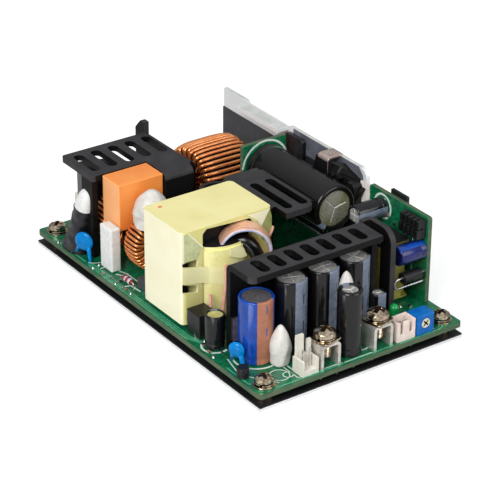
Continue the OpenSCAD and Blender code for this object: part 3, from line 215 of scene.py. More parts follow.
def screw(seat, head_d, head_h, shank_d, shank_l, turn, pitch=0.6):
    """Pan head screw that seats on a point. A profile goes round its axis. The shank's radius loses a
    triangle wave of height over pitch plus turn, and the dome sinks where a point lies within a cross,
    whose faces are marked 1 for the dark finish that paints shade in the recess."""
    angle = np.arange(80) * 2 * np.pi / 80
    big = head_d / 2
    down = np.linspace(-shank_l, -0.02, int(shank_l / pitch * 6))[:, None]
    shank_r = shank_d / 2 - 0.3 * pitch * np.abs(2 * ((down / pitch - angle / (2 * np.pi)) % 1) - 1)
    rim_r = np.array([shank_d / 2, big - 0.1, big, big])[:, None] + 0 * angle
    rim_z = np.array([0, 0, 0.1, head_h * 0.45])[:, None] + 0 * angle
    share = np.linspace(0.995, 0.02, 24)[:, None]
    dome_r = big * share + 0 * angle
    arms = np.abs(np.stack([dome_r * np.cos(angle), dome_r * np.sin(angle)]))
    inside = np.minimum(np.maximum(arms[0] - 0.17 * big, arms[1] - 0.62 * big),
                        np.maximum(arms[1] - 0.17 * big, arms[0] - 0.62 * big))
    dome_z = head_h * (1 - 0.55 * share ** 2.6) - 0.6 * head_h * np.clip(0.5 - inside / 0.14, 0, 1)
    points = polar(np.concatenate([shank_r, rim_r, dome_r]), angle + np.radians(turn),
                   np.concatenate([down + 0 * angle, rim_z, dome_z]))
    sunk = np.zeros((len(points) - 1, len(angle)), int)
    sunk[-len(inside):-1] = (inside[1:] < -0.02) & (inside[:-1] < -0.02)
    return grid(points + np.array(seat), sunk)


def washer(foot, bore_d, outer_d, height, start=0.0, end=360.0, rise=0.0, square=False, turn=0.0):
    """Washer: a rectangle with eased corners goes round a vertical axis from start to end, in degrees,
    and climbs by rise. A square one has the outer radius half its width over the 14th root of
    |cos|^14 + |sin|^14."""
    share = np.linspace(0, 1, 97)
    angle = np.radians(start + (end - start) * share)
    outer = outer_d / 2 + 0 * angle
    if square:
        outer = outer / (np.abs(np.cos(angle)) ** 14 + np.abs(np.sin(angle)) ** 14) ** (1 / 14)
    inner = bore_d / 2 + 0 * angle
    ease = 0.12
    radius = np.stack([inner + ease, outer - ease, outer, outer, outer - ease, inner + ease, inner, inner], -1)
    level = np.array([0, 0, ease, height - ease, height, height, height - ease, ease]) + rise * share[:, None]
    points = polar(radius, (angle + np.radians(turn))[:, None], level)
    return grid(points + np.array(foot), closed=end - start < 359)


plated = finish("plated_steel", (232, 216, 190), (128, 106, 84), 0.9, 0.16, vary=0.07,
                grain=0.4, relief=0.002, metal=1.0)
# The dark finish in the screws' crosses is painted shade in the recess.
recess = finish("recess", (92, 70, 52), (44, 32, 26), 0.8, 0.4, metal=0.6)
dressed("board_spacers", [plated], edge=0.14)
board_top = box_mm("main_board")[1][2]
corner_head_d, corner_head_h, corner_washer_d, flat_t, spring_t = 5.6, 2.0, 7.0, 0.5, 0.8
hole_x, hole_y = middle_of("corner_screws")[1][:2] / 2 - corner_head_d / 2
corners = [(-hole_x, -hole_y, 70), (hole_x, -hole_y, 20), (-hole_x, hole_y, 45), (hole_x, hole_y, 10)]
assemble("corner_washers_piece",
         [washer([x, y, board_top], 3.3, corner_washer_d, flat_t - 0.05) for x, y, turn in corners]
         + [washer([x, y, board_top + flat_t], 3.4, corner_head_d + 0.4, spring_t - 0.35, 8, 352, 0.3, turn=turn + 150)
            for x, y, turn in corners], [plated], ["corner_washers"])
assemble("corner_screws_piece",
         [screw([x, y, board_top + flat_t + spring_t], corner_head_d, corner_head_h, 3.0, 4.3, turn)
          for x, y, turn in corners], [plated, recess], ["corner_screws"])

# Main board: glass-fibre laminate under green lacquer, with copper areas that show lighter. The sawn edge
# is bare laminate, and white ink rings and lines mark the parts' places.
lacquer = finish("green_lacquer", (18, 122, 80), (6, 84, 52), 2.0, 0.28, vary=0.06, grain=0.5, coat=0.3)
laminate = finish("sawn_laminate", (96, 104, 78), (52, 92, 64), 5, 0.75, grain=0.2, relief=0.02, stretch=(1, 1, 4))
track = finish("copper_under_lacquer", (92, 176, 138), (58, 150, 108), 1.5, 0.3, coat=0.3)
ink = finish("white_ink", (226, 232, 226), (198, 214, 204), 0.8, 0.6, grain=0.2)


def unit(vectors):
    """The same vectors with a length of one."""
    return vectors / np.linalg.norm(vectors, axis=-1, keepdims=True)


def strip(path, width, lift=(0, 0, 0.06)):
    """Flat line of ink or copper on a face: a low rectangle carried along a path, across the path and
    across lift, which points out of the face."""
    path, lift = np.asarray(path, float), np.asarray(lift, float)
    across = unit(np.cross(unit(lift), np.gradient(path, axis=0))) * width / 2
    return grid(np.stack([path - across, path + across, path + across + lift, path - across + lift], 1))


def arc(middle, radius, start, end, across=(1, 0, 0), upward=(0, 1, 0)):
    """Points of an arc round middle from start to end degrees: middle + radius (cos across + sin upward)."""
    angle = np.radians(np.linspace(start, end, max(8, int(abs(end - start) / 6))))[:, None]
    return np.array(middle) + radius * (np.cos(angle) * np.array(across) + np.sin(angle) * np.array(upward))


def bend(corners):
    """Points along straight runs between corners, eight to a run."""
    corners = np.array(corners, float)
    share = np.linspace(0, 1, 8, endpoint=False)[:, None]
    return np.concatenate([a + share * (b - a) for a, b in zip(corners[:-1], corners[1:])] + [corners[-1:]])


def on_board(width, *places):
    """Line on the main board through places, each X and Y."""
    return strip(bend([(x, y, board_top - sink) for x, y in places]), width)


def on_control(width, tall, *places):
    """Line on the control board through places, each Y from its middle and Z."""
    return strip(bend([(control_x + sink, control_at[1] + y, z) for y, z in places]), width, (-tall, 0, 0))


for node, axis in (("main_board", 2), ("capacitor_board", 1), ("control_board", 0)):
    dressed(node, [lacquer, laminate], edge=0.08,
            pick=lambda middle, normal, area: np.abs(normal[axis]) <= 0.9)
sink, side_can_r, control_can_r = 0.02, 3.15, 3.2
small_low, small_high = box_mm("small_capacitors")
blue_at, blue_size = middle_of("blue_capacitor")
bulk_at, bulk_size = middle_of("bulk_capacitor")
upright_at, upright_size = middle_of("capacitor_board")
control_at, control_size = middle_of("control_board")
control_x = control_at[0] - control_size[0] / 2
control_low, control_high = box_mm("control_capacitors")
rings = [  # X, Y, radius, first and last degree, width
    (small_low[0] + side_can_r, small_high[1] - side_can_r, 4.1, 0, 360, 0.7),
    (blue_at[0], blue_at[1], 6.9, 150, 330, 0.6),
    (-26.6, -57.2, 3.0, -150, 150, 0.3), (-24.4, -58.4, 1.5, 0, 360, 0.3),
    (-32.6, 36.4, 4.4, 210, 335, 0.35), (3.2, -57.4, 2.2, 190, 350, 0.6)]
assemble("ink_lines", [
    strip(arc([x, y, board_top - sink], radius, start, end), width) for x, y, radius, start, end, width in rings
] + [
    on_board(0.3, (-29.2, -60.6), (-33.4, -54.6), (-36.2, -50.4), (-34.0, -41.0)),
    on_board(0.35, (-21.6, -52.0), (-21.6, -61.5)),
    on_board(0.3, (-23.0, -52.6), (-23.0, -61.5), (-14.8, -61.5)),
    on_board(0.35, (-36.9, 28.5), (-32.8, 28.5), (-30.2, 20.6), (-30.2, 9.0)),
    on_board(0.5, (-37.4, 14.2), (-33.4, 13.6), (-33.0, 8.4)),
    on_board(0.5, (-33.2, 22.6), (-30.6, 17.4)),
    on_board(0.3, (-15.5, -61.6), (-7.0, -61.9)),
    on_board(0.3, (-6.4, -62.2), (4.0, -62.2)),
    on_board(0.3, (20.6, -55.6), (28.2, -55.6), (28.2, -61.9)),
    strip(arc([bulk_at[0], upright_at[1] - upright_size[1] / 2 + sink, bulk_at[2]], bulk_size[0] / 2 + 1.1, 20, 175,
              upward=(0, 0, 1)), 0.7, (0, -0.06, 0)),
    strip(arc([control_x + sink, control_high[1] - control_can_r, control_high[2] - control_can_r], 4.0, 0, 360,
              (0, 1, 0), (0, 0, 1)), 0.7, (-0.06, 0, 0)),
    on_control(0.4, 0.06, (-7.4, 33.4), (-7.4, 10.0)),
    on_control(0.8, 0.06, (6.9, 33.2), (6.9, 29.6)),
], [ink])
assemble("board_tracks", [
    on_board(0.5, (x, 33.0), (x, -24.0), (x + 4.2 - k * 0.7, -33.0), (x + 4.2 - k * 0.7, -41.5))
    for k, x in enumerate((-37.3, -36.5, -35.7))
] + [
    on_board(0.45, (-36.8, 57.0), (-36.8, 35.0)),
    on_board(0.45, (-37.0, -45.0), (-37.0, -56.0), (-30.5, -62.4), (12.0, -62.6)),
    on_board(0.45, (14.0, -62.9), (30.0, -62.9), (37.0, -58.0)),
    on_control(0.5, 0.05, (4.0, 22.0), (-4.0, 22.0), (-6.4, 19.0)),
], [track])

# Small surface parts: chip resistors and capacitors with tinned ends, and domes of solder over the leads.
# They stand in the free places of both boards.
chip_black = finish("chip_black", (44, 42, 42), (30, 29, 30), 0.6, 0.4)
chip_tan = finish("chip_tan", (164, 132, 100), (140, 108, 80), 0.6, 0.5)
solder = finish("solder", (214, 216, 214), (150, 156, 152), 0.6, 0.25, metal=0.9)


def brick(low, high, finish_at=0):
    """Box between two corners, for a small moulded part."""
    low, high = np.array(low, float), np.array(high, float)
    square = np.array([[0, 0], [1, 0], [1, 1], [0, 1]])
    points = np.concatenate([np.concatenate([low[:2] + square * (high - low)[:2], np.full((4, 1), z)], 1)
                             for z in (low[2], high[2])])
    faces = [[3, 2, 1, 0], [4, 5, 6, 7], [0, 1, 5, 4], [1, 2, 6, 5], [2, 3, 7, 6], [3, 0, 4, 7]]
    return points, faces, [finish_at] * 6


def chip_part(place, body_at, along=(0, 1, 0), out=(0, 0, 1)):
    """Surface part: a low block between two tinned ends, along one axis and standing out along another."""
    length, width, tall = 1.6, 0.8, 0.5
    along, out = np.array(along, float), np.array(out, float)
    parts = []
    for start, stop, grow, mark in ((-0.5, -0.28, 0.03, 0), (-0.28, 0.28, 0.0, body_at), (0.28, 0.5, 0.03, 0)):
        points, faces, marks = brick([start, -0.5, -0.04], [stop, 0.5, 1], mark)
        scaled = points * [length, width + 2 * grow, tall + grow]
        parts.append((np.array(place) + scaled @ np.stack([along, np.cross(out, along), out]), faces, marks))
    return parts


board_field = [  # X, Y and finish of the chips on the main board
    (-34.9, 17.4, 1), (-36.3, 12.0, 2), (-35.9, 20.6, 1), (-32.3, 6.6, 2), (-36.6, 24.8, 2), (-37.0, 43.6, 1),
    (-31.4, 47.8, 1), (-36.2, -34.6, 2), (-34.2, -33.6, 1), (-32.6, -32.4, 2), (-35.2, -30.2, 1), (-30.4, -43.4, 1),
    (-29.6, -46.0, 2), (-31.8, -55.4, 1), (-15.4, -54.2, 1), (-4.9, -56.4, 2), (14.0, -55.4, 1), (21.8, -48.4, 2),
    (24.2, -47.2, 1), (26.4, -49.6, 2), (28.6, -52.8, 1), (31.6, -50.4, 2), (24.9, -51.4, 1), (30.8, -46.6, 1)]
control_field = [  # Y from the middle, Z and finish of those on the control board
    (1.6, 26.6, 1), (-1.4, 27.0, 2), (-4.4, 25.0, 1), (3.6, 17.6, 2), (1.0, 15.2, 1),
    (-4.6, 12.4, 2), (-6.0, 9.0, 1), (-1.2, 9.2, 2), (4.8, 10.6, 1), (4.6, 28.6, 2)]
chips = [chip_part([x, y, board_top], kind, (0, 1, 0) if n % 3 else (1, 0, 0))
         for n, (x, y, kind) in enumerate(board_field)]
chips += [chip_part([control_x, control_at[1] + y, z], kind, (0, 0, 1), (-1, 0, 0)) for y, z, kind in control_field]
assemble("surface_parts", sum(chips, []), [solder, chip_black, chip_tan])


def lathe(profile, foot=(0, 0, 0), around=48, finish_at=0):
    """Surface of a profile, rows of radius and height, that goes round a vertical axis through foot."""
    radius, height = np.asarray(profile, float).T[..., None]
    return grid(polar(radius, np.arange(around) * 2 * np.pi / around, height) + np.asarray(foot, float), finish_at)


dome = [(0.62, -0.03), (0.6, 0.06), (0.42, 0.2), (0.26, 0.42), (0.22, 0.62), (0.1, 0.7)]
joints_at = [(-36.2, 9.0), (-36.8, 17.0), (-32.6, 12.2), (-31.8, 24.8), (-37.2, 30.0), (-34.6, 30.6), (-30.0, 51.0),
             (-37.2, 51.6), (-33.8, -28.6), (-36.8, -37.8), (-31.2, -57.6), (-16.2, -57.2), (20.2, -57.0),
             (33.4, -54.0), (28.2, -45.4)]
board_under = box_mm("main_board")[0][2]
under_row = [(x, -62.6) for x in (-15.5, -9.5, -3.4, 3.6, 10.0, 18.5)] + [(-37.0, y) for y in (-40.0, 33.0)]
assemble("solder_joints", [lathe(dome, [x, y, board_top], 16) for x, y in joints_at]
         + [lathe([(r, -z * 1.6) for r, z in dome], [x, y, board_under], 16) for x, y in under_row],
         [solder])

# Aluminium wall: bright sheet with a folded lip, a black insulator and a grey film behind the semiconductors,
# and a plated spring clip that presses them on. A black film lies over the transistors.
steel_clip = finish("clip_steel", (226, 206, 196), (196, 176, 168), 2, 0.24, metal=0.75, relief=0.002)
dark_plate = finish("dark_plate", (58, 56, 58), (40, 38, 40), 2, 0.3, metal=0.3)
moulding = finish("black_moulding", (28, 28, 29), (18, 18, 19), 2, 0.36, grain=0.3, relief=0.005, shine=0.35)
liner = finish("wall_liner", (54, 52, 57), (34, 32, 36), 14, 0.42, grain=0.8, shine=0.4)
folded = finish("folded_lip", (222, 225, 220), (196, 200, 196), 4, 0.45, grain=0.4, relief=0.01, metal=0.1)
pad_grey = finish("thermal_pad", (112, 114, 122), (84, 86, 95), 5, 0.34, vary=0.08, grain=1.2, relief=0.03)
gloss_film = finish("gloss_film", (20, 18, 18), (13, 12, 12), 5, 0.22, vary=0.06, grain=2.5, relief=0.05, shine=0.4)
paper = finish("white_paper", (236, 230, 222), (214, 206, 198), 2, 0.6, grain=0.7, relief=0.02)
dressed("aluminium_wall", [bright_sheet, folded], edge=0.2,
        pick=lambda middle, normal, area: (normal[2] > 0.9) & (area > 20))
dressed("wall_insulator", [liner], edge=0.05)
clip_top, clip_fold, leg_top, plate_x = box_mm("spring_clip")[1][2], 1.4, 18.4, 34.7
dressed("spring_clip", [steel_clip, black_film],
        pick=lambda middle, normal, area: middle[2] < clip_top - clip_fold)
dressed("rectifier", [dark_plate, moulding, plated], edge=0.15,
        pick=lambda middle, normal, area: np.where(middle[2] < leg_top, 2, middle[0] < plate_x))


def legs_below(foot):
    """Chooser that gives the second finish to all faces below the height foot, in mm."""
    return lambda middle, normal, area: middle[2] < foot


def draped(top, bottom, swell, thick, wave):
    """Film between two curves of as many points: it runs straight from one to the other, and swells by
    swell times sin(pi down) and by wave times sin of its length, to low X. A copy thick behind closes it."""
    down = np.linspace(0, 1, 15)[:, None, None]
    out = swell * np.sin(np.pi * down[..., 0]) + wave * np.sin(np.linspace(0, 9, len(top))) * down[..., 0]
    front = top * (1 - down) + bottom * down
    front[..., 0] -= out
    return grid(np.concatenate([front, (front + [thick, 0, 0])[:, ::-1]], 1))


def flat_patch(corners, thick, finish_at=0):
    """Flat film: a polygon, and its copy moved across it by thick, joined by a rim."""
    corners = np.asarray(corners, float)
    across = unit(np.cross(corners[1] - corners[0], corners[2] - corners[0])) * thick
    k = np.arange(len(corners))
    after = (k + 1) % len(k)
    faces = [k[::-1].tolist(), (k + len(k)).tolist()] + np.stack([k, after, after + len(k), k + len(k)], -1).tolist()
    return np.concatenate([corners, corners + across]), faces, [finish_at] * len(faces)


dressed("wall_transistors", [moulding, plated], edge=0.15, pick=legs_below(18.1))
film_rear, film_l, film_step, film_top = 3.4, 21.0, -2.6, 38.0
along = np.linspace(0, 1, 25)
film_y = film_rear - film_l * along
over = np.clip((film_step - film_y) / 2.6, 0, 1)
film_x = 31.2 + 4.7 * over * over * (3 - 2 * over)
film_z = film_top - 4.5 * (np.maximum(film_step - film_y, 0) / 15.0) ** 0.8
film_foot = np.stack([30.6 + 1.6 * along ** 3, 4.4 - 19.4 * along, 27.4 - 1.2 * along], -1)
assemble("transistor_film", [draped(np.stack([film_x, film_y, film_z], -1), film_foot, 0.5, 0.3, 0.5)], [gloss_film],
         ["clip_insulator"], smooth=60)
wall_t, pad_gap = 1.5, 0.02
pad_x = box_mm("aluminium_wall")[1][0] - wall_t - pad_gap
pad = [(pad_x, y, z) for y, z in ((22.8, 31.0), (-14.4, 31.0), (-14.4, 35.8), (-12.2, 38.3), (22.8, 38.3))]
assemble("thermal_pad_strip", [flat_patch(pad, 0.25)], [pad_grey], edge=0.08)
strip_top = np.array([[35.3, -14.8, 34.9], [35.5, -17.4, 34.9], [35.8, -19.4, 33.9]])
strip_foot = np.array([[34.9, -12.2, 21.6], [35.2, -15.4, 22.6], [35.7, -18.8, 24.4]])
assemble("paper_strip", [draped(strip_top, strip_foot, 0.25, 0.25, 0.2)], [paper], smooth=60)

# Black heatsinks: folded and slotted aluminium sheets with a matt black anodised skin. A lighter copy of the
# black is painted sheen on the tops and edges, a darker copy painted shade on the broad upright faces, undersides,
# slot walls and the left one's legs. Two stand over the mains side, one roofs the output capacitors. The
# rectifiers and the sensor lean on them, moulded in black on plated legs.
# The lighter black is painted sheen for the tops, the darker black painted shade for the upright faces.
anodised_painted_sheen = finish("black_anodised", (60, 58, 60), (46, 44, 46), 7, 0.55, vary=0.08,
                  grain=0.35, relief=0.012, shine=0.25)
anodised_painted_shade = finish("black_anodised_painted_shade", (17, 16, 17), (11, 11, 12), 7, 0.5, vary=0.08,
                       grain=0.35, relief=0.012, shine=0.16)
sensor_grey = finish("sensor_grey", (118, 112, 124), (86, 80, 92), 2, 0.35)


def painted_shade_faces(middle, normal, area):
    """Places of the painted shade: broad upright faces, undersides, slot walls, and the left one's legs."""
    broad, border, roof = 70.0, 1.2, 32.5
    low, high = box_mm(node)[:, :2, None]
    inner = ((middle[:2] > low + border) & (middle[:2] < high - border)).all(0)
    leg = (middle[2] < roof) & (node == "left_heatsink")
    return (normal[2] < 0.5) & ((area > broad) | inner | leg) | (normal[2] < -0.5)


for node in ("left_heatsink", "middle_heatsink", "front_heatsink"):
    dressed(node, [anodised_painted_sheen, anodised_painted_shade], edge=0.3, pick=painted_shade_faces)
for node in ("bridge_rectifier", "output_rectifiers"):
    dressed(node, [moulding, plated], edge=0.15, pick=legs_below(11.4))
dressed("thermal_sensor", [moulding, plated, sensor_grey],
        pick=lambda middle, normal, area: np.where(middle[2] < 9.4, 1, 2 * ((normal[1] < -0.9) & (area > 8))))

# Main transformer: a ferrite core and a round wound bobbin, wrapped in pale yellow tape that leaves a
# window in front. A flat litz lead arches out of the window, and pink leads drop to the board.
ferrite = finish("ferrite", (30, 29, 31), (18, 18, 19), 3, 0.6, grain=0.3, relief=0.01, shine=0.3)
tape = finish("yellow_tape", (240, 232, 170), (232, 222, 154), 9, 0.4, vary=0.06, grain=0.9, relief=0.006, shine=0.3)
# Lighter and darker copies of the yellow tape: the lighter one is painted light on left-facing faces and bright folds,
# the darker one painted shade on front faces.
tape_painted_lit = finish("painted_lit_tape", (252, 248, 218), (247, 242, 206), 9, 0.42, grain=0.9, relief=0.006, shine=0.3)
tape_painted_shade = finish("painted_shade_tape", (236, 230, 158), (226, 218, 138), 7, 0.4, grain=0.9, relief=0.006, shine=0.3)
winding_tape = finish("winding_tape", (248, 243, 176), (240, 234, 156), 4, 0.3, grain=0.8, relief=0.01)
strap_tape = finish("strap_tape", (250, 246, 192), (244, 239, 176), 4, 0.36, grain=0.8, relief=0.008, shine=0.4)
olive_tape = finish("olive_tape", (176, 178, 112), (146, 150, 88), 3, 0.4, grain=0.8, relief=0.01)
# The clear tape finish is darkened and greener as painted shade for the recessed core face.
clear_tape_painted_shade = finish("clear_tape_painted_shade", (214, 218, 168), (190, 198, 142), 3, 0.28, grain=0.8, relief=0.01)
orange_ink = finish("orange_ink", (238, 120, 70), (228, 104, 58), 1, 0.5)
litz_copper = finish("litz_copper", (244, 198, 172), (232, 172, 138), 2.4, 0.34, metal=0.25, coat=0.25, relief=0.0)
litz_silk = finish("litz_silk", (206, 210, 232), (168, 174, 206), 1.2, 0.4)
# The darker copper in the grooves between the litz strands is painted shade.
litz_gap_painted_shade = finish("litz_gap_painted_shade", (200, 138, 112), (176, 112, 86), 1.6, 0.4, coat=0.2)
sleeve_black = finish("gloss_sleeve", (16, 15, 16), (10, 10, 11), 2, 0.2)
pink = finish("pink_sleeve", (236, 178, 158), (214, 152, 130), 2, 0.4)
dressed("transformer_core", [ferrite], edge=0.15)
# Left-facing faces of the tape take the lighter copy as painted light, front faces the darker copy as painted shade.
dressed("transformer_tape", [tape, tape_painted_lit, tape_painted_shade], edge=0.25,
        pick=lambda middle, normal, area: np.where(normal[0] < -0.7, 1, 2 * (normal[1] < -0.7)))
winding_top = box_mm("transformer_winding")[1][2]
# The winding's top faces take the black ferrite finish as painted shade under the tape's roof.
dressed("transformer_winding", [winding_tape, ferrite], edge=0,
        pick=lambda middle, normal, area: (normal[2] > 0.9) & (middle[2] > winding_top - 0.3))
tape_low, tape_high = box_mm("transformer_tape")
winding_at, winding_size = middle_of("transformer_winding")


def strand(path, radius, side=(1.0, 0, 0), sides=10, finish_at=0):
    """Round wire: a circle, whose radius may follow the path, carried along it and across it at each
    point. side turns its first spoke."""
    ahead = unit(np.gradient(path, axis=0))
    first = unit(np.cross(side, ahead))
    second = np.cross(ahead, first)
    turn = np.arange(sides) * 2 * np.pi / sides
    spokes = np.cos(turn)[:, None] * first[:, None] + np.sin(turn)[:, None] * second[:, None]
    return grid(path[:, None] + np.reshape(radius, (-1, 1, 1)) * spokes, finish_at)


def curve(*knots, count=24):
    """Points on a smooth curve through a few knots: each coordinate follows the polynomial through them."""
    knots = np.array(knots, float)
    at, share = np.linspace(0, 1, len(knots)), np.linspace(0, 1, count)
    return np.stack([np.polyval(np.polyfit(at, knots[:, i], len(knots) - 1), share) for i in range(3)], -1)


def rounded(wave, power):
    """A sine or cosine raised to a power with its sign kept, which rounds the corners of a box."""
    return np.sign(wave) * np.abs(wave) ** power


def about_z(degrees):
    """Matrix that turns points about the Z axis."""
    spin = np.radians(degrees)
    return np.array([[np.cos(spin), -np.sin(spin), 0], [np.sin(spin), np.cos(spin), 0], [0, 0, 1]])


def front_patch(thick, finish_at, *places):
    """Film before the tape's front face, at places of X, distance from the face and Z."""
    return flat_patch([[x, tape_low[1] - out, z] for x, out, z in places], thick, finish_at)


band_angle, band_r = np.radians(np.linspace(212, 262, 14)), winding_size[0] / 2 + 0.12
band_round = polar(band_r, band_angle, 0)[:, :2] + winding_at[:2]
band_line = np.concatenate([[[x, tape_low[1] - 0.12] for x in (-35.9, -33.4, -30.2)],
                            band_round[band_round[:, 1] < tape_low[1] - 0.2]])
band_top = 27.3 - (band_line[:, 0] + 35.9) * 0.2
band = np.stack([np.concatenate([band_line, (band_top - drop)[:, None]], 1) for drop in (0, 1.4, 2.8, 4.2, 5.6)], 1)
dot = polar(1, np.linspace(0, 2 * np.pi, 13)[:-1], 0) * [0.75, 0.55, 0] + [-31.4, -1.1, tape_high[2] - 0.04]
# Patches before the tape's front face: the clear tape finish is painted shade on the recessed core face, the pale tape
# finish painted light on the bright folds.
assemble("tape_folds", [
    front_patch(0.1, 0, (-35.9, 0.14, 38.2), (-33.9, 0.14, 38.3), (-28.8, 0.14, 32.4), (-30.3, 0.14, 29.4),
                (-35.9, 0.14, 28.8)),
    front_patch(0.06, 1, (-35.9, 0.2, 38.4), (-35.3, 0.2, 38.4), (-35.3, 0.2, 28.9), (-35.9, 0.2, 28.7)),
    front_patch(0.06, 1, (-33.9, 0.2, 38.3), (-33.4, 0.2, 38.3), (-28.4, 0.2, 32.5), (-28.8, 0.2, 32.3)),
    front_patch(0.1, 2, (-7.9, 0.14, 33.2), (-3.9, 0.14, 38.0), (-3.2, 0.14, 35.6), (-3.2, 0.14, 28.6),
                (-6.6, 0.14, 28.4)),
    front_patch(0.08, 1, (-12.1, 0.2, 38.3), (-4.0, 0.22, 38.4), (-7.3, 0.3, 33.0), (-8.6, 0.26, 35.6)),
    front_patch(0.12, 3, (-20.6, 3.3, 30.9), (-18.2, 3.2, 31.1), (-15.8, 3.2, 29.8), (-14.4, 3.2, 26.6),
                (-17.0, 3.5, 26.6), (-21.0, 3.5, 28.4)),
    grid(np.concatenate([band, band[:, ::-1] + [0, 0.1, 0]], 1), 3),
    flat_patch(dot, 0.08, 4),
], [clear_tape_painted_shade, tape_painted_lit, olive_tape, strap_tape, orange_ink], smooth=30)
litz_at, litz_turn, litz_radius, litz_w, litz_t = [-14.6, -21.9, 28.4], -28, 7.8, 6.2, 1.1
angle = np.radians(np.linspace(0, 158, 60))
rise = np.linspace(board_top - litz_at[2], -0.4, 20)
outward = np.concatenate([np.tile([1.0, 0, 0], (len(rise), 1)),
                          np.stack([np.cos(angle), 0 * angle, np.sin(angle)], -1)])
arch = litz_radius * outward
arch[:len(rise), 2] = rise
turn = np.linspace(0, 2 * np.pi, 97)[:-1]
wide = rounded(np.cos(turn), 0.5) * litz_w / 2
strands = np.abs(np.sin(np.pi * 5 * (wide / litz_w + 0.5)))
deep = rounded(np.sin(turn), 0.5) * litz_t / 2 * (0.8 + 0.4 * strands ** 0.5)
spread = 1 + 0.02 * np.sin(30 * np.linspace(0, 1, len(arch)))[:, None]
section = arch[:, None] + deep[None, :, None] * outward[:, None] + (wide * spread)[..., None] * [0, 1, 0]
# The grooves between strands take the darker finish as painted shade.
edge_share, gap_depth = 0.47, 0.42
litz_marks = np.where(wide < -litz_w * edge_share, 1, np.where(strands < gap_depth, 2, 0))
assemble("litz_ribbon", [grid(section @ about_z(litz_turn).T + litz_at, litz_marks)],
         [litz_copper, litz_silk, litz_gap_painted_shade], ["litz_lead"], smooth=50)
sleeve_path = curve([-16.6, -18.4, 29.0], [-13.6, -21.6, 30.6], [-11.2, -24.4, 25.2])
assemble("litz_sleeve", [strand(sleeve_path, 2.3, (1.0, 0.2, 0))], [sleeve_black])
front_y = tape_low[1]
assemble("pink_leads", [
    strand(curve([-22.6, -23.9, 26.2], [-23.4, -24.7, 20.0], [-24.4, -25.0, 13.0], [-24.6, -25.0, board_top]), 0.6),
    strand(curve([-27.6, -22.4, 17.0], [-28.2, -23.7, 14.5], [-28.4, -24.2, 11.0], [-28.5, -24.4, board_top]), 0.5),
    strand(curve([-5.8, front_y - 0.1, 28.4], [-4.0, front_y - 0.6, 30.0], [-2.6, front_y + 0.1, 31.8]), 0.45),
], [pink], ["transformer_lead"])

# Chokes: enamelled copper wire wound by hand on ring cores. Two small ones with two windings each
# stand beside the box capacitor, a large one with one thick winding stands in the rear corner.
copper = finish("enamelled_copper", (255, 172, 106), (238, 138, 74), 2.2, 0.2, vary=0.05,
                grain=0.6, relief=0.0, metal=0.7, coat=0.4)
core_black = finish("coated_core", (14, 13, 14), (9, 9, 10), 3, 0.6, grain=0.3, relief=0.01, shine=0.15)
to_front = np.array([[1, 0, 0], [0, 0, -1], [0, 1, 0]])
to_right = np.array([[0, 0, 1], [1, 0, 0], [0, 1, 0]])


def ring_winding(centre, spin, outer_d, depth, wire_d, turns, start, end, bore_r, lift):
    """Wire of a winding: one loop per turn round the ring's section, a superellipse in radius and height,
    while it advances round the ring. Every second turn dips deeper in the bore, and the wire is drawn
    thinner than its pitch by share, for the gaps to show. spin turns the ring's axis from Z."""
    square, share = 3.6, 0.84
    t = np.linspace(0, turns, turns * 44 + 1)
    loop = 2 * np.pi * t
    deep = 0.5 - 0.5 * np.cos(np.pi * (np.floor(t) % 2))
    outer_r = (outer_d - wire_d) / 2
    inner_r = bore_r - deep * wire_d * 1.08
    waist = (outer_r + bore_r) / 2
    across = rounded(np.cos(loop), 2 / square)
    radius = waist + across * np.where(across > 0, outer_r - waist, waist - inner_r)
    half = (depth - wire_d) / 2
    height = rounded(np.sin(loop), 2 / square) * (half - lift * (1 - deep) * np.clip(0.5 - across / 2, 0, 1))
    angle = np.radians(start + (end - start) * t / turns)
    side = np.stack([-np.sin(angle), np.cos(angle), np.zeros_like(angle)], -1)
    return strand(polar(radius, angle, height) @ spin.T + centre, wire_d / 2 * share, side @ spin.T)


choke_d, choke_wire, choke_turns, choke_bore, choke_gap = 19.3, 1.1, 17, 5.3, 9
for node, depth in (("near_choke", 8.2), ("rear_choke", 8.6)):
    centre = middle_of(node + "_core")[0]
    parts = [ring_winding(centre, to_front, choke_d, depth, choke_wire, choke_turns, base + choke_gap,
                          base + 180 - choke_gap, choke_bore, 0.8) for base in (90, 270)]
    for side in (-1, 1):
        fall = np.linspace(centre[2] - choke_d / 2 + 1.4, board_top, 8)
        foot = centre + [side * 2.2, 1.6 * side, 0]
        parts.append(strand(np.stack([foot[0] + 0 * fall, foot[1] + 0 * fall, fall], -1), choke_wire / 2))
    assemble(node + "_wire", parts, [copper], [node + "_winding"])
    dressed(node + "_core", [core_black], edge=0)
power_d, power_depth, power_wire, power_turns, power_bore = 27, 20.9, 1.32, 42, 7.4
assemble("power_choke_wire", [ring_winding(middle_of("power_choke_core")[0], to_right, power_d, power_depth, power_wire,
                                           power_turns, -80, 260, power_bore, 1.5)],
         [copper], ["power_choke_winding"])
dressed("power_choke_core", [core_black], edge=0)
dressed("power_choke_seat", [black_film], edge=0.2)

# Mains capacitors and fuse: a moulded orange box and a white box on leads, a fuse that leans in black
# shrink sleeve under a white sealed end, and two blue dipped discs.
orange = finish("orange_case", (250, 156, 78), (244, 142, 62), 7, 0.36, vary=0.05, grain=0.7, relief=0.006)
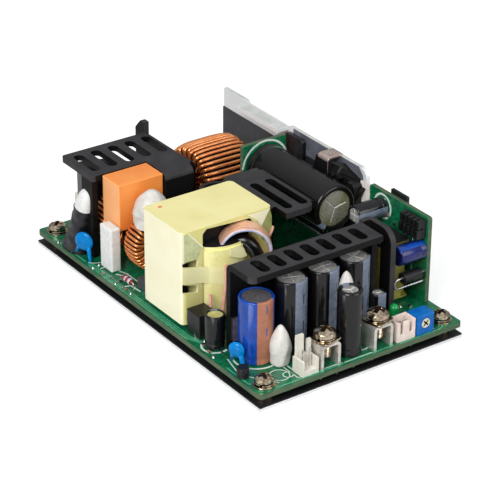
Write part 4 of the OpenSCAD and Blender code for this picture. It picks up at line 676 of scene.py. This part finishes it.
# A lighter copy of the orange, which is painted light for the faces turned to the left.
orange_painted_lit = finish("orange_case_painted_lit", (255, 184, 124), (250, 172, 108), 7, 0.36, vary=0.05, grain=0.7, relief=0.006)
white_resin = finish("white_resin", (240, 240, 238), (222, 222, 220), 1.5, 0.5, grain=0.5, relief=0.03)
shrink = finish("shrink_sleeve", (32, 30, 36), (20, 19, 22), 1.2, 0.34, grain=1.2, relief=0.1, shine=0.45)
blue_dip = finish("blue_dip", (0, 132, 206), (0, 114, 188), 2, 0.14, vary=0.03, relief=0.002, shine=0.2)
# Faces turned to the left take the lighter orange as painted light.
dressed("box_capacitor", [orange, orange_painted_lit], edge=0.25,
        pick=lambda middle, normal, area: normal[0] < -0.7)
dressed("white_capacitor", [white_resin], edge=0.2)


def soft_tube(half_x, half_y, height, power, ripple):
    """Closed tube along Z: each row is a superellipse with its own half widths, and its radius waves
    round and up by ripple."""
    turn = np.linspace(0, 2 * np.pi, 61)[:-1]
    half_x, half_y, high = (np.reshape(each, (-1, 1)) for each in (half_x, half_y, height))
    wave = 1 + ripple * np.sin(3 * turn + 1.1 * high) + ripple * 0.8 * np.sin(1.9 * high + 2 * np.sin(turn))
    return np.stack([half_x * rounded(np.cos(turn), 2 / power) * wave, half_y * rounded(np.sin(turn), 2 / power) * wave,
                     high + 0 * turn], -1)


fuse_at, fuse_lean, fuse_drift, fuse_l = [-34.2, 45.3, board_top], np.radians(14.5), 0.075, 16.8
up = np.linspace(0, 1, 40)
flare = np.clip(1 - up / 0.6, 0, 1) ** 1.2
bow = np.radians(np.linspace(0, 88, 18))
tube = soft_tube(3.25 + 0.2 * flare, 3.6 + 2.6 * flare, up * fuse_l - 1.2 * (1 - up), 2.4, 0.028)
cap = soft_tube(3.2 * np.cos(bow) ** 0.62, 3.55 * np.cos(bow) ** 0.62, fuse_l - 0.9 + 7.6 * np.sin(bow), 2.2, 0.01)
for node, rows, paint, slot in (("fuse_sleeve", tube, shrink, "insulation_film"),
                                ("fuse_cap", cap, white_resin, "white_case")):
    x, y, z = np.moveaxis(rows, -1, 0)
    leaning = np.stack([x + fuse_drift * z, y * np.cos(fuse_lean) - z * np.sin(fuse_lean),
                        y * np.sin(fuse_lean) + z * np.cos(fuse_lean)], -1) + fuse_at
    leaning[..., 2] = np.maximum(leaning[..., 2], board_top + 0.01)
    assemble(node + "_piece", [grid(leaning)], [paint], [node], smooth=60)


def dipped_disc(centre, radius, *feet):
    """Dipped disc: a lens whose radius follows a cosine and whose half thickness a sine of the same angle,
    turned about Z, with two coated legs that taper to their feet."""
    thick, turned = 2.2, about_z(30).T
    swing = np.radians(np.linspace(-90, 90, 25))
    around = np.linspace(0, 2 * np.pi, 49)[:-1]
    reach = radius * np.maximum(np.cos(swing), 0.004)[:, None] ** 0.75
    depth = thick / 2 * np.sin(swing)[:, None] + 0 * around
    face = np.stack([depth, reach * np.cos(around), reach * np.sin(around)], -1)
    parts = [grid(face @ turned + np.array(centre))]
    for side, foot in zip((1, -1), feet):
        hip = np.array([0, side * radius * 0.5, -radius * 0.55]) @ turned + centre
        knee = hip * 0.45 + np.array(foot) * 0.55 + [0, 0, 0.25]
        parts.append(strand(curve(hip, knee, foot, count=14), np.linspace(thick * 0.42, 0.42, 14), (1.0, 0.3, 0), 12))
    return parts


assemble("dipped_discs",
         dipped_disc([-35.7, 37.6, 11.55], 3.25, [-36.3, 41.9, board_top], [-35.8, 33.9, board_top])
         + dipped_disc([-33.8, -45.4, 10.85], 2.55, [-33.0, -42.0, board_top], [-33.2, -48.2, board_top]),
         [blue_dip], ["disc_capacitors"], smooth=60)

# Electrolytic capacitors: aluminium cans in shrink sleeves with a paler polarity stripe. The sleeve
# curls over the rim, and the bare end has a scored vent.
sleeve = finish("black_sleeve", (20, 19, 22), (13, 12, 14), 3, 0.15, vary=0.03, grain=1.2, relief=0.006)
bulk_sleeve = finish("bulk_sleeve", (22, 19, 19), (14, 12, 12), 6, 0.2, vary=0.03, grain=1.2, shine=0.4)
grey_stripe = finish("grey_stripe", (122, 132, 150), (100, 112, 130), 3, 0.3, grain=1.0)
blue_sleeve = finish("blue_sleeve", (18, 76, 172), (10, 54, 142), 3, 0.16, vary=0.04, grain=1.2, relief=0.006)
navy_sleeve = finish("navy_sleeve", (30, 42, 116), (18, 24, 76), 2, 0.2, grain=1.2, relief=0.006)
copper_stripe = finish("copper_stripe", (178, 118, 92), (156, 98, 72), 3, 0.34, grain=1.0, relief=0.006)
can_end = finish("can_end", (222, 220, 216), (168, 166, 162), 1.6, 0.28, metal=0.55, relief=0.006)
score_line = finish("score_line", (238, 236, 230), (206, 204, 198), 1, 0.3, metal=0.4)
matte_end = finish("matte_can_end", (112, 110, 112), (84, 82, 86), 0.9, 0.5, metal=0.3, grain=0.4, relief=0.02)
olive_end = finish("olive_can_end", (214, 208, 140), (178, 170, 104), 2, 0.35, metal=0.3)
bulk_end = finish("bulk_can_end", (204, 200, 190), (132, 132, 84), 8, 0.24, metal=0.45)
to_left = np.array([[0, 0, -1], [0, 1, 0], [1, 0, 0]])


def can(foot, radius, height, spin=np.eye(3), stripe=(251, 320), arms=4, arm_turn=0, rim=0.45, dashes=(2, 4.2, 3.4),
        score=0.2, finishes_at=(0, 1, 2, 3)):
    """Can on its foot, its axis turned from Z by spin: a profile of radius over height goes round the axis,
    and the end is a disc whose height drops in straight scores. The stripe is a run of columns, in degrees,
    with dark dashes down its middle: their number, the first one's depth below the top and their length.
    finishes_at are the places of the sleeve's, stripe's, end's and scores' finishes."""
    at_sleeve, at_stripe, at_end, at_score = finishes_at
    waist = 2.2
    bend_at = np.radians(np.linspace(0, 150, 9))
    rim_r, rim_z = radius - rim + rim * np.cos(bend_at), height - rim + rim * np.sin(bend_at)
    neck = np.array([[-0.8, 0], [-0.4, 0.08], [0, 0.17], [0.4, 0.08], [0.8, 0]])
    count, first, long = dashes
    starts = height - first - long - np.arange(count)[::-1] * long * 2.7
    starts = starts[starts > waist + 1]
    rows = np.stack([starts, starts + long], -1).ravel()
    side_r = np.concatenate([[radius - 0.5, radius], radius - neck[:, 1], radius + 0 * rows, rim_r])
    side_z = np.concatenate([[0, 0.4], waist + neck[:, 0], rows, rim_z])
    edge_0, edge_1 = np.radians(stripe)
    middle, slim = (edge_0 + edge_1) / 2, 0.035
    angles = np.unique(np.append(np.linspace(0, 2 * np.pi, 61)[:-1], [edge_0, edge_1, middle - slim, middle + slim]))
    between = (angles + np.append(angles[1:], angles[0] + 2 * np.pi)) / 2
    striped = (between > edge_0) & (between < edge_1)
    dashed = np.abs(between - middle) < slim * 0.99
    on_dash = np.zeros(len(side_z) - 1, bool)
    dash_row = 2 + len(neck)
    on_dash[dash_row:dash_row - 1 + len(rows):2] = True
    mark = np.where(striped & ~(dashed & on_dash[:, None]), at_stripe, at_sleeve)
    points, faces, marks = grid(polar(side_r[:, None], angles, side_z[:, None]), mark, closed=False)
    k = np.arange(len(angles))
    foot_fan = fan(np.roll(k, -1), k, len(points))
    spokes = np.radians(arm_turn) + np.arange(arms) * 2 * np.pi / arms
    disc_r, disc_z, k = rim_r[-1] + 0.02, rim_z[-1] - 0.12, np.arange(120)
    disc = polar(np.linspace(0, 1, 22)[:, None] * disc_r, k * 2 * np.pi / 120, 0)
    along = disc[..., :2] @ np.stack([np.cos(spokes), np.sin(spokes)])
    aside = disc[..., :2] @ np.stack([-np.sin(spokes), np.cos(spokes)])
    near = np.where((along > -0.1) & (along < disc_r * 0.8), np.abs(aside), 9).min(-1)
    disc[..., 2] = disc_z - score * np.exp(-(near / 0.16) ** 2)
    scored = np.where((near[1:-1] < 0.15) & (score > 0.1), at_score, at_end)
    end_points, end_faces, end_marks = grid(disc[1:], scored, closed=False)
    end_fan = fan(k, np.roll(k, -1), len(end_points))
    points = np.concatenate([points, [[0, 0, 0]]]) @ spin.T + foot
    end_points = np.concatenate([end_points, [[0, 0, disc_z - score]]]) @ spin.T + foot
    return [(points, faces + foot_fan, marks + [at_sleeve] * len(foot_fan)),
            (end_points, end_faces + end_fan, end_marks + [at_end] * len(end_fan))]


can_paints = [sleeve, grey_stripe, can_end, score_line]
middle, size = middle_of("output_capacitors")
cans = [can([middle[0] + i * (size[0] - size[1]) / 2, middle[1], board_top], size[1] / 2, size[2], arm_turn=20 * i,
            stripe=(251 + 8 * (i + 1), 318 + 5 * (i + 1))) for i in (-1, 0, 1)]
assemble("output_cans", sum(cans, []), can_paints, ["output_capacitors"])
assemble("blue_can", can([*blue_at[:2], board_top], blue_size[0] / 2, blue_size[2], stripe=(238, 302), score=0.03,
                         rim=0.55, dashes=(3, 1.2, 2.8)),
         [blue_sleeve, copper_stripe, matte_end, matte_end], ["blue_capacitor"])
middle, size = middle_of("front_capacitor")
assemble("front_can", can([*middle[:2], board_top], size[0] / 2, size[2], stripe=(60, 110), arms=3, arm_turn=15,
                          rim=0.8), can_paints, ["front_capacitor"])
assemble("bulk_can", can(bulk_at + [0, bulk_size[1] / 2, 0], bulk_size[0] / 2, bulk_size[1], to_front, arms=3, rim=1.0,
                         arm_turn=12, stripe=(212, 236), dashes=(3, 3, 4), score=0.3),
         [bulk_sleeve, grey_stripe, bulk_end, score_line], ["bulk_capacitor"])
narrow_can_r = 2.6
assemble("small_cans",
         can([small_low[0] + side_can_r, small_high[1] - side_can_r, board_top], side_can_r, 11.3, stripe=(40, 90),
             finishes_at=(0, 1, 4, 4))
         + can([small_high[0] - narrow_can_r, small_low[1] + narrow_can_r, board_top], narrow_can_r, 11.5, arms=3,
               stripe=(235, 312)),
         can_paints + [olive_end], ["small_capacitors"])
assemble("control_cans",
         can(control_high - [0, control_can_r, control_can_r], control_can_r, 11.5, to_left, stripe=(206, 292))
         + can([control_high[0], control_low[1] + control_can_r, control_low[2] + control_can_r], control_can_r, 10,
               to_left, stripe=(318, 350), score=0.04, finishes_at=(4, 5, 4, 4)),
         can_paints + [navy_sleeve, blue_sleeve], ["control_capacitors"])

# Control board parts: a chip behind the board, a plug block with two rows of contacts between ribs, and
# a diode with its lead bent back.
wire_end = finish("tinned_wire", (222, 222, 222), (190, 190, 192), 1.5, 0.22, metal=0.9)
dressed("control_chip", [moulding], edge=0.08)
(left, front, foot), (right, rear, top) = box_mm("control_block")
top, pitch, inner = top - 0.5, (rear - front - 1.5) / 4, right - 1.3
ribs = [brick([right - 1.4, front, foot], [right, rear, top]),
        brick([left + 0.6, front + 0.4, top - 3.0], [right - 1.4, rear - 0.4, top - 2.4])]
for y in front + pitch * np.arange(5):
    ribs += [brick([left + 0.5, y + 0.1, top - 2.4], [inner, y + 1.4, top]),
             brick([left, y + 0.1, foot], [inner, y + 1.3, top - 3.0])]
for y in front + 1.55 + pitch * np.arange(4):
    ribs += [brick([left + 1.4, y, foot + 0.6], [inner, y + 0.4, foot + 1.0], 1),
             brick([left + 1.7, y, top - 1.5], [inner, y + 0.4, top - 1.1], 1)]
assemble("control_block_piece", ribs, [moulding, wire_end], ["control_block"], edge=0.1)
diode_x, diode_half, lead_z = 30.5, 3.55, 14.2
dressed("control_diode", [moulding, wire_end], edge=0.1,
        pick=lambda middle, normal, area: (np.abs(middle[0] - diode_x) >= diode_half) | (middle[2] <= lead_z))

# Small wound parts and the isolator block: taped coils between ferrite cheeks beside the main
# transformer, and a black moulded block at the left edge.
# The auxiliary transformer's tape is darkened to olive as painted shade.
shaded_tape = finish("shaded_tape", (186, 176, 84), (150, 140, 58), 5, 0.36, grain=0.8, relief=0.008)
# The drive transformer's tape takes the darker tape copy, which is painted shade.
for node, paint in (("auxiliary_transformer", shaded_tape), ("drive_transformer", tape_painted_shade)):
    foot, top = box_mm(node)[:, 2]
    pins_end, low_cheek, high_cheek = foot + 0.55, foot + 1.75, top - 1.25
    dressed(node, [paint, ferrite, plated], edge=0.15, pick=lambda middle, normal, area: np.where(
        middle[2] < pins_end, 2, (middle[2] < low_cheek) | (middle[2] > high_cheek)))
dressed("coupler", [moulding, plated], edge=0.15, pick=legs_below(5.95))

# Connectors: nylon headers with tinned pins. The white ones are for mains and fan, the cream one
# carries the signals.
white_nylon = finish("white_nylon", (232, 228, 216), (218, 212, 198), 3, 0.42, grain=0.5)
cream_nylon = finish("cream_nylon", (242, 226, 218), (228, 208, 196), 3, 0.42, grain=0.5)
for node, nylon, slot, edge, pins, back, reach in (
        ("input_connector", white_nylon, "white_case", 0.12, (-3.96, 3.96), 0, 0.55),
        ("fan_connector", white_nylon, "white_case", 0.1, (-1.25, 1.25), 0.3, 0.35),
        ("signal_connector", cream_nylon, "cream_plastic", 0.1, (-1.875, -0.625, 0.625, 1.875), 0, 0.3)):
    at = middle_of(node)[0]
    dressed(node, [nylon, wire_end], edge=edge, pick=lambda middle, normal, area: np.any([
        (np.abs(middle[0] - (at[0] + pin)) < reach) & (np.abs(middle[1] - (at[1] - back)) < reach) for pin in pins], 0))

# Screw terminals: folded tinned brackets with a square washer, a split washer and a screw each, whose
# thread comes out below the sheet.
tinned = finish("tinned_sheet", (232, 228, 222), (196, 192, 184), 2, 0.3, vary=0.08, metal=0.7)
dressed("terminal_brackets", [tinned], edge=0.1)
square_t, terminal_w, terminal_head = 0.8, 7.2, 6.8
terminal_y, terminal_z = -59.05, box_mm("terminal_brackets")[1][2]
terminals = [np.array([x, terminal_y, terminal_z]) for x in (-11.6, 8.1)]
assemble("terminal_washers_piece",
         [washer(at + [0, 0, 0.02], 4.3, terminal_w, square_t - 0.05, square=True, turn=14) for at in terminals]
         + [washer(at + [0, 0, square_t], 4.3, terminal_head - 0.2, spring_t - 0.35, 8, 352, 0.3, turn=200)
            for at in terminals], [plated], ["terminal_washers"])
assemble("terminal_screws_piece",
         [screw(at + [0, 0, square_t + spring_t], terminal_head, 2.6, 4.0, 6.7, 30, 0.7) for at in terminals],
         [plated, recess], ["terminal_screws"])

# Trimmer and lamp: a blue moulded body at the front edge with a cream rotor, whose crossed slot a
# screwdriver turns, and behind it a green lamp with a round end on two tinned legs.
trimmer_blue = finish("trimmer_blue", (4, 110, 192), (0, 92, 172), 2, 0.34, vary=0.05, grain=0.5, relief=0.01,
                      shine=0.3)
rotor_cream = finish("rotor_cream", (236, 230, 208), (216, 206, 176), 1, 0.36)
# Near-black finish for the rotor's slot, which is painted shade.
slot_painted_shade = finish("rotor_slot_painted_shade", (20, 18, 18), (14, 13, 13), 1, 0.6)
lamp_green = finish("lamp_green", (24, 170, 88), (10, 128, 60), 2, 0.12, vary=0.03, coat=0.5)
dressed("trimmer_body", [trimmer_blue])
rotor_front, rotor_x, rotor_z, slot_reach = box_mm("trimmer_rotor")[0][1], 24.0, 9.3, 1.3
# The faces inside the rotor's crossed slot take the near-black finish as painted shade.
dressed("trimmer_rotor", [rotor_cream, slot_painted_shade], edge=0, body="rotor",
        pick=lambda middle, normal, area: (middle[1] > rotor_front + 0.2) & (middle[1] < rotor_front + 0.95)
        & (np.hypot(middle[0] - rotor_x, middle[2] - rotor_z) < slot_reach))
dressed("green_lamp", [lamp_green, wire_end], edge=0, pick=legs_below(7.25))

# Silicone: lumps of white silicone that keep tall parts from shaking. They are pressed on from a nozzle
# and sag a little before they set.
silicone = finish("silicone", (226, 223, 218), (202, 199, 192), 2, 0.42, grain=1.6, relief=0.12)


def blob(foot, radius, height, fullest, seed, lean=0.0):
    """Lump of silicone: an egg whose radius follows a sine over its height, widest at the share fullest,
    with slow waves round and up it. Its top leans to the right by lean."""
    up = np.linspace(0.02, 1, 33)[:, None]
    around = np.arange(48) * 2 * np.pi / 48
    share = np.where(up < fullest, 0.5 * up / fullest, 0.5 + 0.5 * (up - fullest) / (1 - fullest))
    profile = np.sin(np.pi * np.clip(share, 0.36, 1)) ** 0.62 * np.clip(0.86 + 3 * up, 0, 1)
    waves = 1 + 0.05 * np.sin(2 * around + 5 * up + seed) + 0.03 * np.sin(5 * around - 9 * up + 2 * seed)
    points = polar(radius * profile * waves, around, up * height)
    points[..., 0] += lean * up
    return grid(points + np.array(foot))


choke_at = middle_of("near_choke_core")[0]
assemble("silicone_blobs", [
    blob([-22.4, -51.7, board_top], 3.2, 13.2, 0.36, 0.4),
    blob([choke_at[0] - 1, choke_at[1] - 0.9, choke_at[2] + choke_d / 2 - 3.6], 5.9, 12.6, 0.4, 1.7),
    blob([2.7, -50.0, board_top + 1.0], 2.7, 21.6, 0.62, 2.6, 0.2),
], [silicone], ["glue_blobs"])

# Small parts: a red glass diode with two bands, a bare lead and a dark block at the left edge, a relay under
# the left heatsink, a sleeved drum choke behind the middle one, and a small coil at the front corner.
red_glass = finish("red_glass", (176, 62, 38), (140, 40, 26), 1, 0.16, coat=0.5)
band_paint = finish("band_paint", (206, 214, 232), (180, 188, 210), 0.8, 0.3)
block_grey = finish("block_grey", (74, 74, 82), (54, 54, 62), 2, 0.36)
bead = np.linspace(-2.4, 2.4, 25)
bead_r = 1.05 * (1 - np.abs(bead / 2.42) ** 7) ** 0.5
bead_mark = ((np.abs(bead[:-1] + 0.5) < 0.42) | (np.abs(bead[:-1] - 1.5) < 0.4)).astype(int)
glass, glass_faces, glass_marks = lathe(np.stack([bead_r, bead], -1), finish_at=bead_mark[:, None])
diode_at = np.array([-33.2, 15.6, board_top + 1.15])
wires = [curve(*(diode_at + knots)) for knots in ([[0, -3.7, -1.25], [0, -3.3, -0.05], [0, -2.2, 0]],
                                                  [[0, 3.7, -1.25], [0, 3.3, -0.05], [0, 2.2, 0]])]
bare_lead = curve([-34.0, -23.6, board_top + 2.4], [-34.5, -24.6, board_top + 2.0], [-34.7, -25.2, board_top])
assemble("banded_diode",
         [(glass @ to_front.T + diode_at, glass_faces, glass_marks), strand(bare_lead, 0.35, finish_at=2)]
         + [strand(wire, 0.3, finish_at=2) for wire in wires], [red_glass, band_paint, wire_end])
assemble("edge_block", [brick([-32.2, 4.0, board_top], [-29.4, 11.6, board_top + 3.6])], [block_grey],
         edge=0.4)
relay_l, relay_w, relay_h, relay_at, drum_at, coil_at = 14.0, 7.0, 25.0, [-21.5, 49.9, 0], [2.0, 17.35], [-36.0, -51.8]
relay, relay_faces, relay_marks = brick([-relay_l / 2, -relay_w / 2, board_top],
                                        [relay_l / 2, relay_w / 2, board_top + relay_h])
drum = [(5.6, 0), (5.9, 0.3), (5.9, 22.2), (5.7, 22.5), (4.4, 22.5), (4.3, 22.0), (2.2, 22.0), (2.1, 22.4), (1.2, 22.4)]
coil_z = np.linspace(0, 3.5, 33)
coil_r = 1.75 + 0.14 * np.abs(np.sin(np.pi * coil_z / 0.8))
coil_r[[0, 1, -2, -1]] = 1.6
assemble("small_parts_piece", [
    (relay @ about_z(-18).T + relay_at, relay_faces, relay_marks),
    lathe(drum, [*drum_at, board_top]),
    lathe(np.stack([coil_r, coil_z], -1), [*coil_at, board_top]),
], [moulding], ["small_parts"], smooth=30)

# Studio: a pale floor, a soft key light from the left, a weak fill from the right, a sky that is bright
# overhead, and a white card on the table, seen only in reflections, that draws the bright line down the
# glossy cans. The camera stands where the photograph was taken from.
scene = bpy.context.scene
scene.view_settings.view_transform = "Standard"


def stage_sheet(name, low, high, height):
    """Level sheet of the studio between two corners, and the tree of its paint."""
    mesh = bpy.data.meshes.new(name)
    mesh.from_pydata([(low[0], low[1], height), (high[0], low[1], height), (high[0], high[1], height),
                      (low[0], high[1], height)], [], [(0, 1, 2, 3)])
    made = bpy.data.objects.new(name, mesh)
    scene.collection.objects.link(made)
    paint = bpy.data.materials.new(name + "_paint")
    paint.use_nodes = True
    mesh.materials.append(paint)
    return made, paint.node_tree


floor_half = 3.0
tree = stage_sheet("floor", (-floor_half, -floor_half), (floor_half, floor_half), 0)[1]
rays = add_node(tree, "LightPath", {})
mirrored = add_node(tree, "Math", {0: rays.outputs["Is Glossy Ray"], 1: 0.2}, operation="MULTIPLY")
glow = add_node(tree, "Math", {0: rays.outputs["Is Camera Ray"], 1: 0.66, 2: mirrored.outputs[0]},
                operation="MULTIPLY_ADD")
feed(tree.nodes["Principled BSDF"], {"Base Color": (0.5, 0.5, 0.5, 1), "Roughness": 0.9,
                                     "Emission Color": (1, 1, 1, 1), "Emission Strength": glow.outputs[0]})
card, tree = stage_sheet("card", (-0.34, -0.074), (-0.062, -0.05), 0.001)
feed(tree.nodes["Principled BSDF"], {"Emission Color": (1, 1, 1, 1), "Emission Strength": 2.6})
card.visible_camera = card.visible_diffuse = card.visible_shadow = False

scene.world = bpy.data.worlds.new("studio")
scene.world.use_nodes = True
sky = scene.world.node_tree
part = add_node(sky, "SeparateXYZ", {0: add_node(sky, "TexCoord", {}).outputs["Generated"]})
bright = add_node(sky, "MapRange", {0: part.outputs["Z"], 1: 0.0, 2: 0.9, 3: 0.08, 4: 0.66})
feed(sky.nodes["Background"], {"Color": (0.96, 0.98, 1.0, 1), "Strength": bright.outputs[0]})
for name, place, power, width in (("key_lamp", (-0.64, -0.34, 0.56), 6.6, 0.5),
                                  ("fill_lamp", (0.3, -0.8, 0.42), 3.0, 0.6)):
    data = bpy.data.lights.new(name, "AREA")
    data.energy, data.size = power, width
    lamp = bpy.data.objects.new(name, data)
    scene.collection.objects.link(lamp)
    lamp.location = place
    back = unit(np.array(place) - [0, 0, 0.02])
    side = unit(np.cross([0, 0, 1.0], back))
    lamp.rotation_euler = Matrix(np.stack([side, np.cross(back, side), back], -1).tolist()).to_euler()

camera_data = bpy.data.cameras.new("camera")
camera_data.sensor_width = 36
picture_px, focal_px = 500, 2157.039
camera_data.lens = focal_px / picture_px * 36
azimuth, elevation, roll = np.radians([-35.391, 27.921, 0.429])
pivot, shift_right, shift_up, distance = np.array([0, 0, 0.0205]), -0.002451, 0.00567, 0.680635
back = np.array([math.sin(azimuth) * math.cos(elevation), -math.cos(azimuth) * math.cos(elevation),
                 math.sin(elevation)])
level = np.array([math.cos(azimuth), math.sin(azimuth), 0])
upward = np.cross(back, level)
right = math.cos(roll) * level + math.sin(roll) * upward
up = -math.sin(roll) * level + math.cos(roll) * upward
camera = bpy.data.objects.new("camera", camera_data)
scene.collection.objects.link(camera)
eye = pivot - shift_right * right - shift_up * up + distance * back
camera.matrix_world = Matrix.Translation(eye.tolist()) @ Matrix(np.stack([right, up, back], -1).tolist()).to_4x4()
camera_data.clip_start, camera_data.clip_end = 0.05, 10
scene.camera = camera
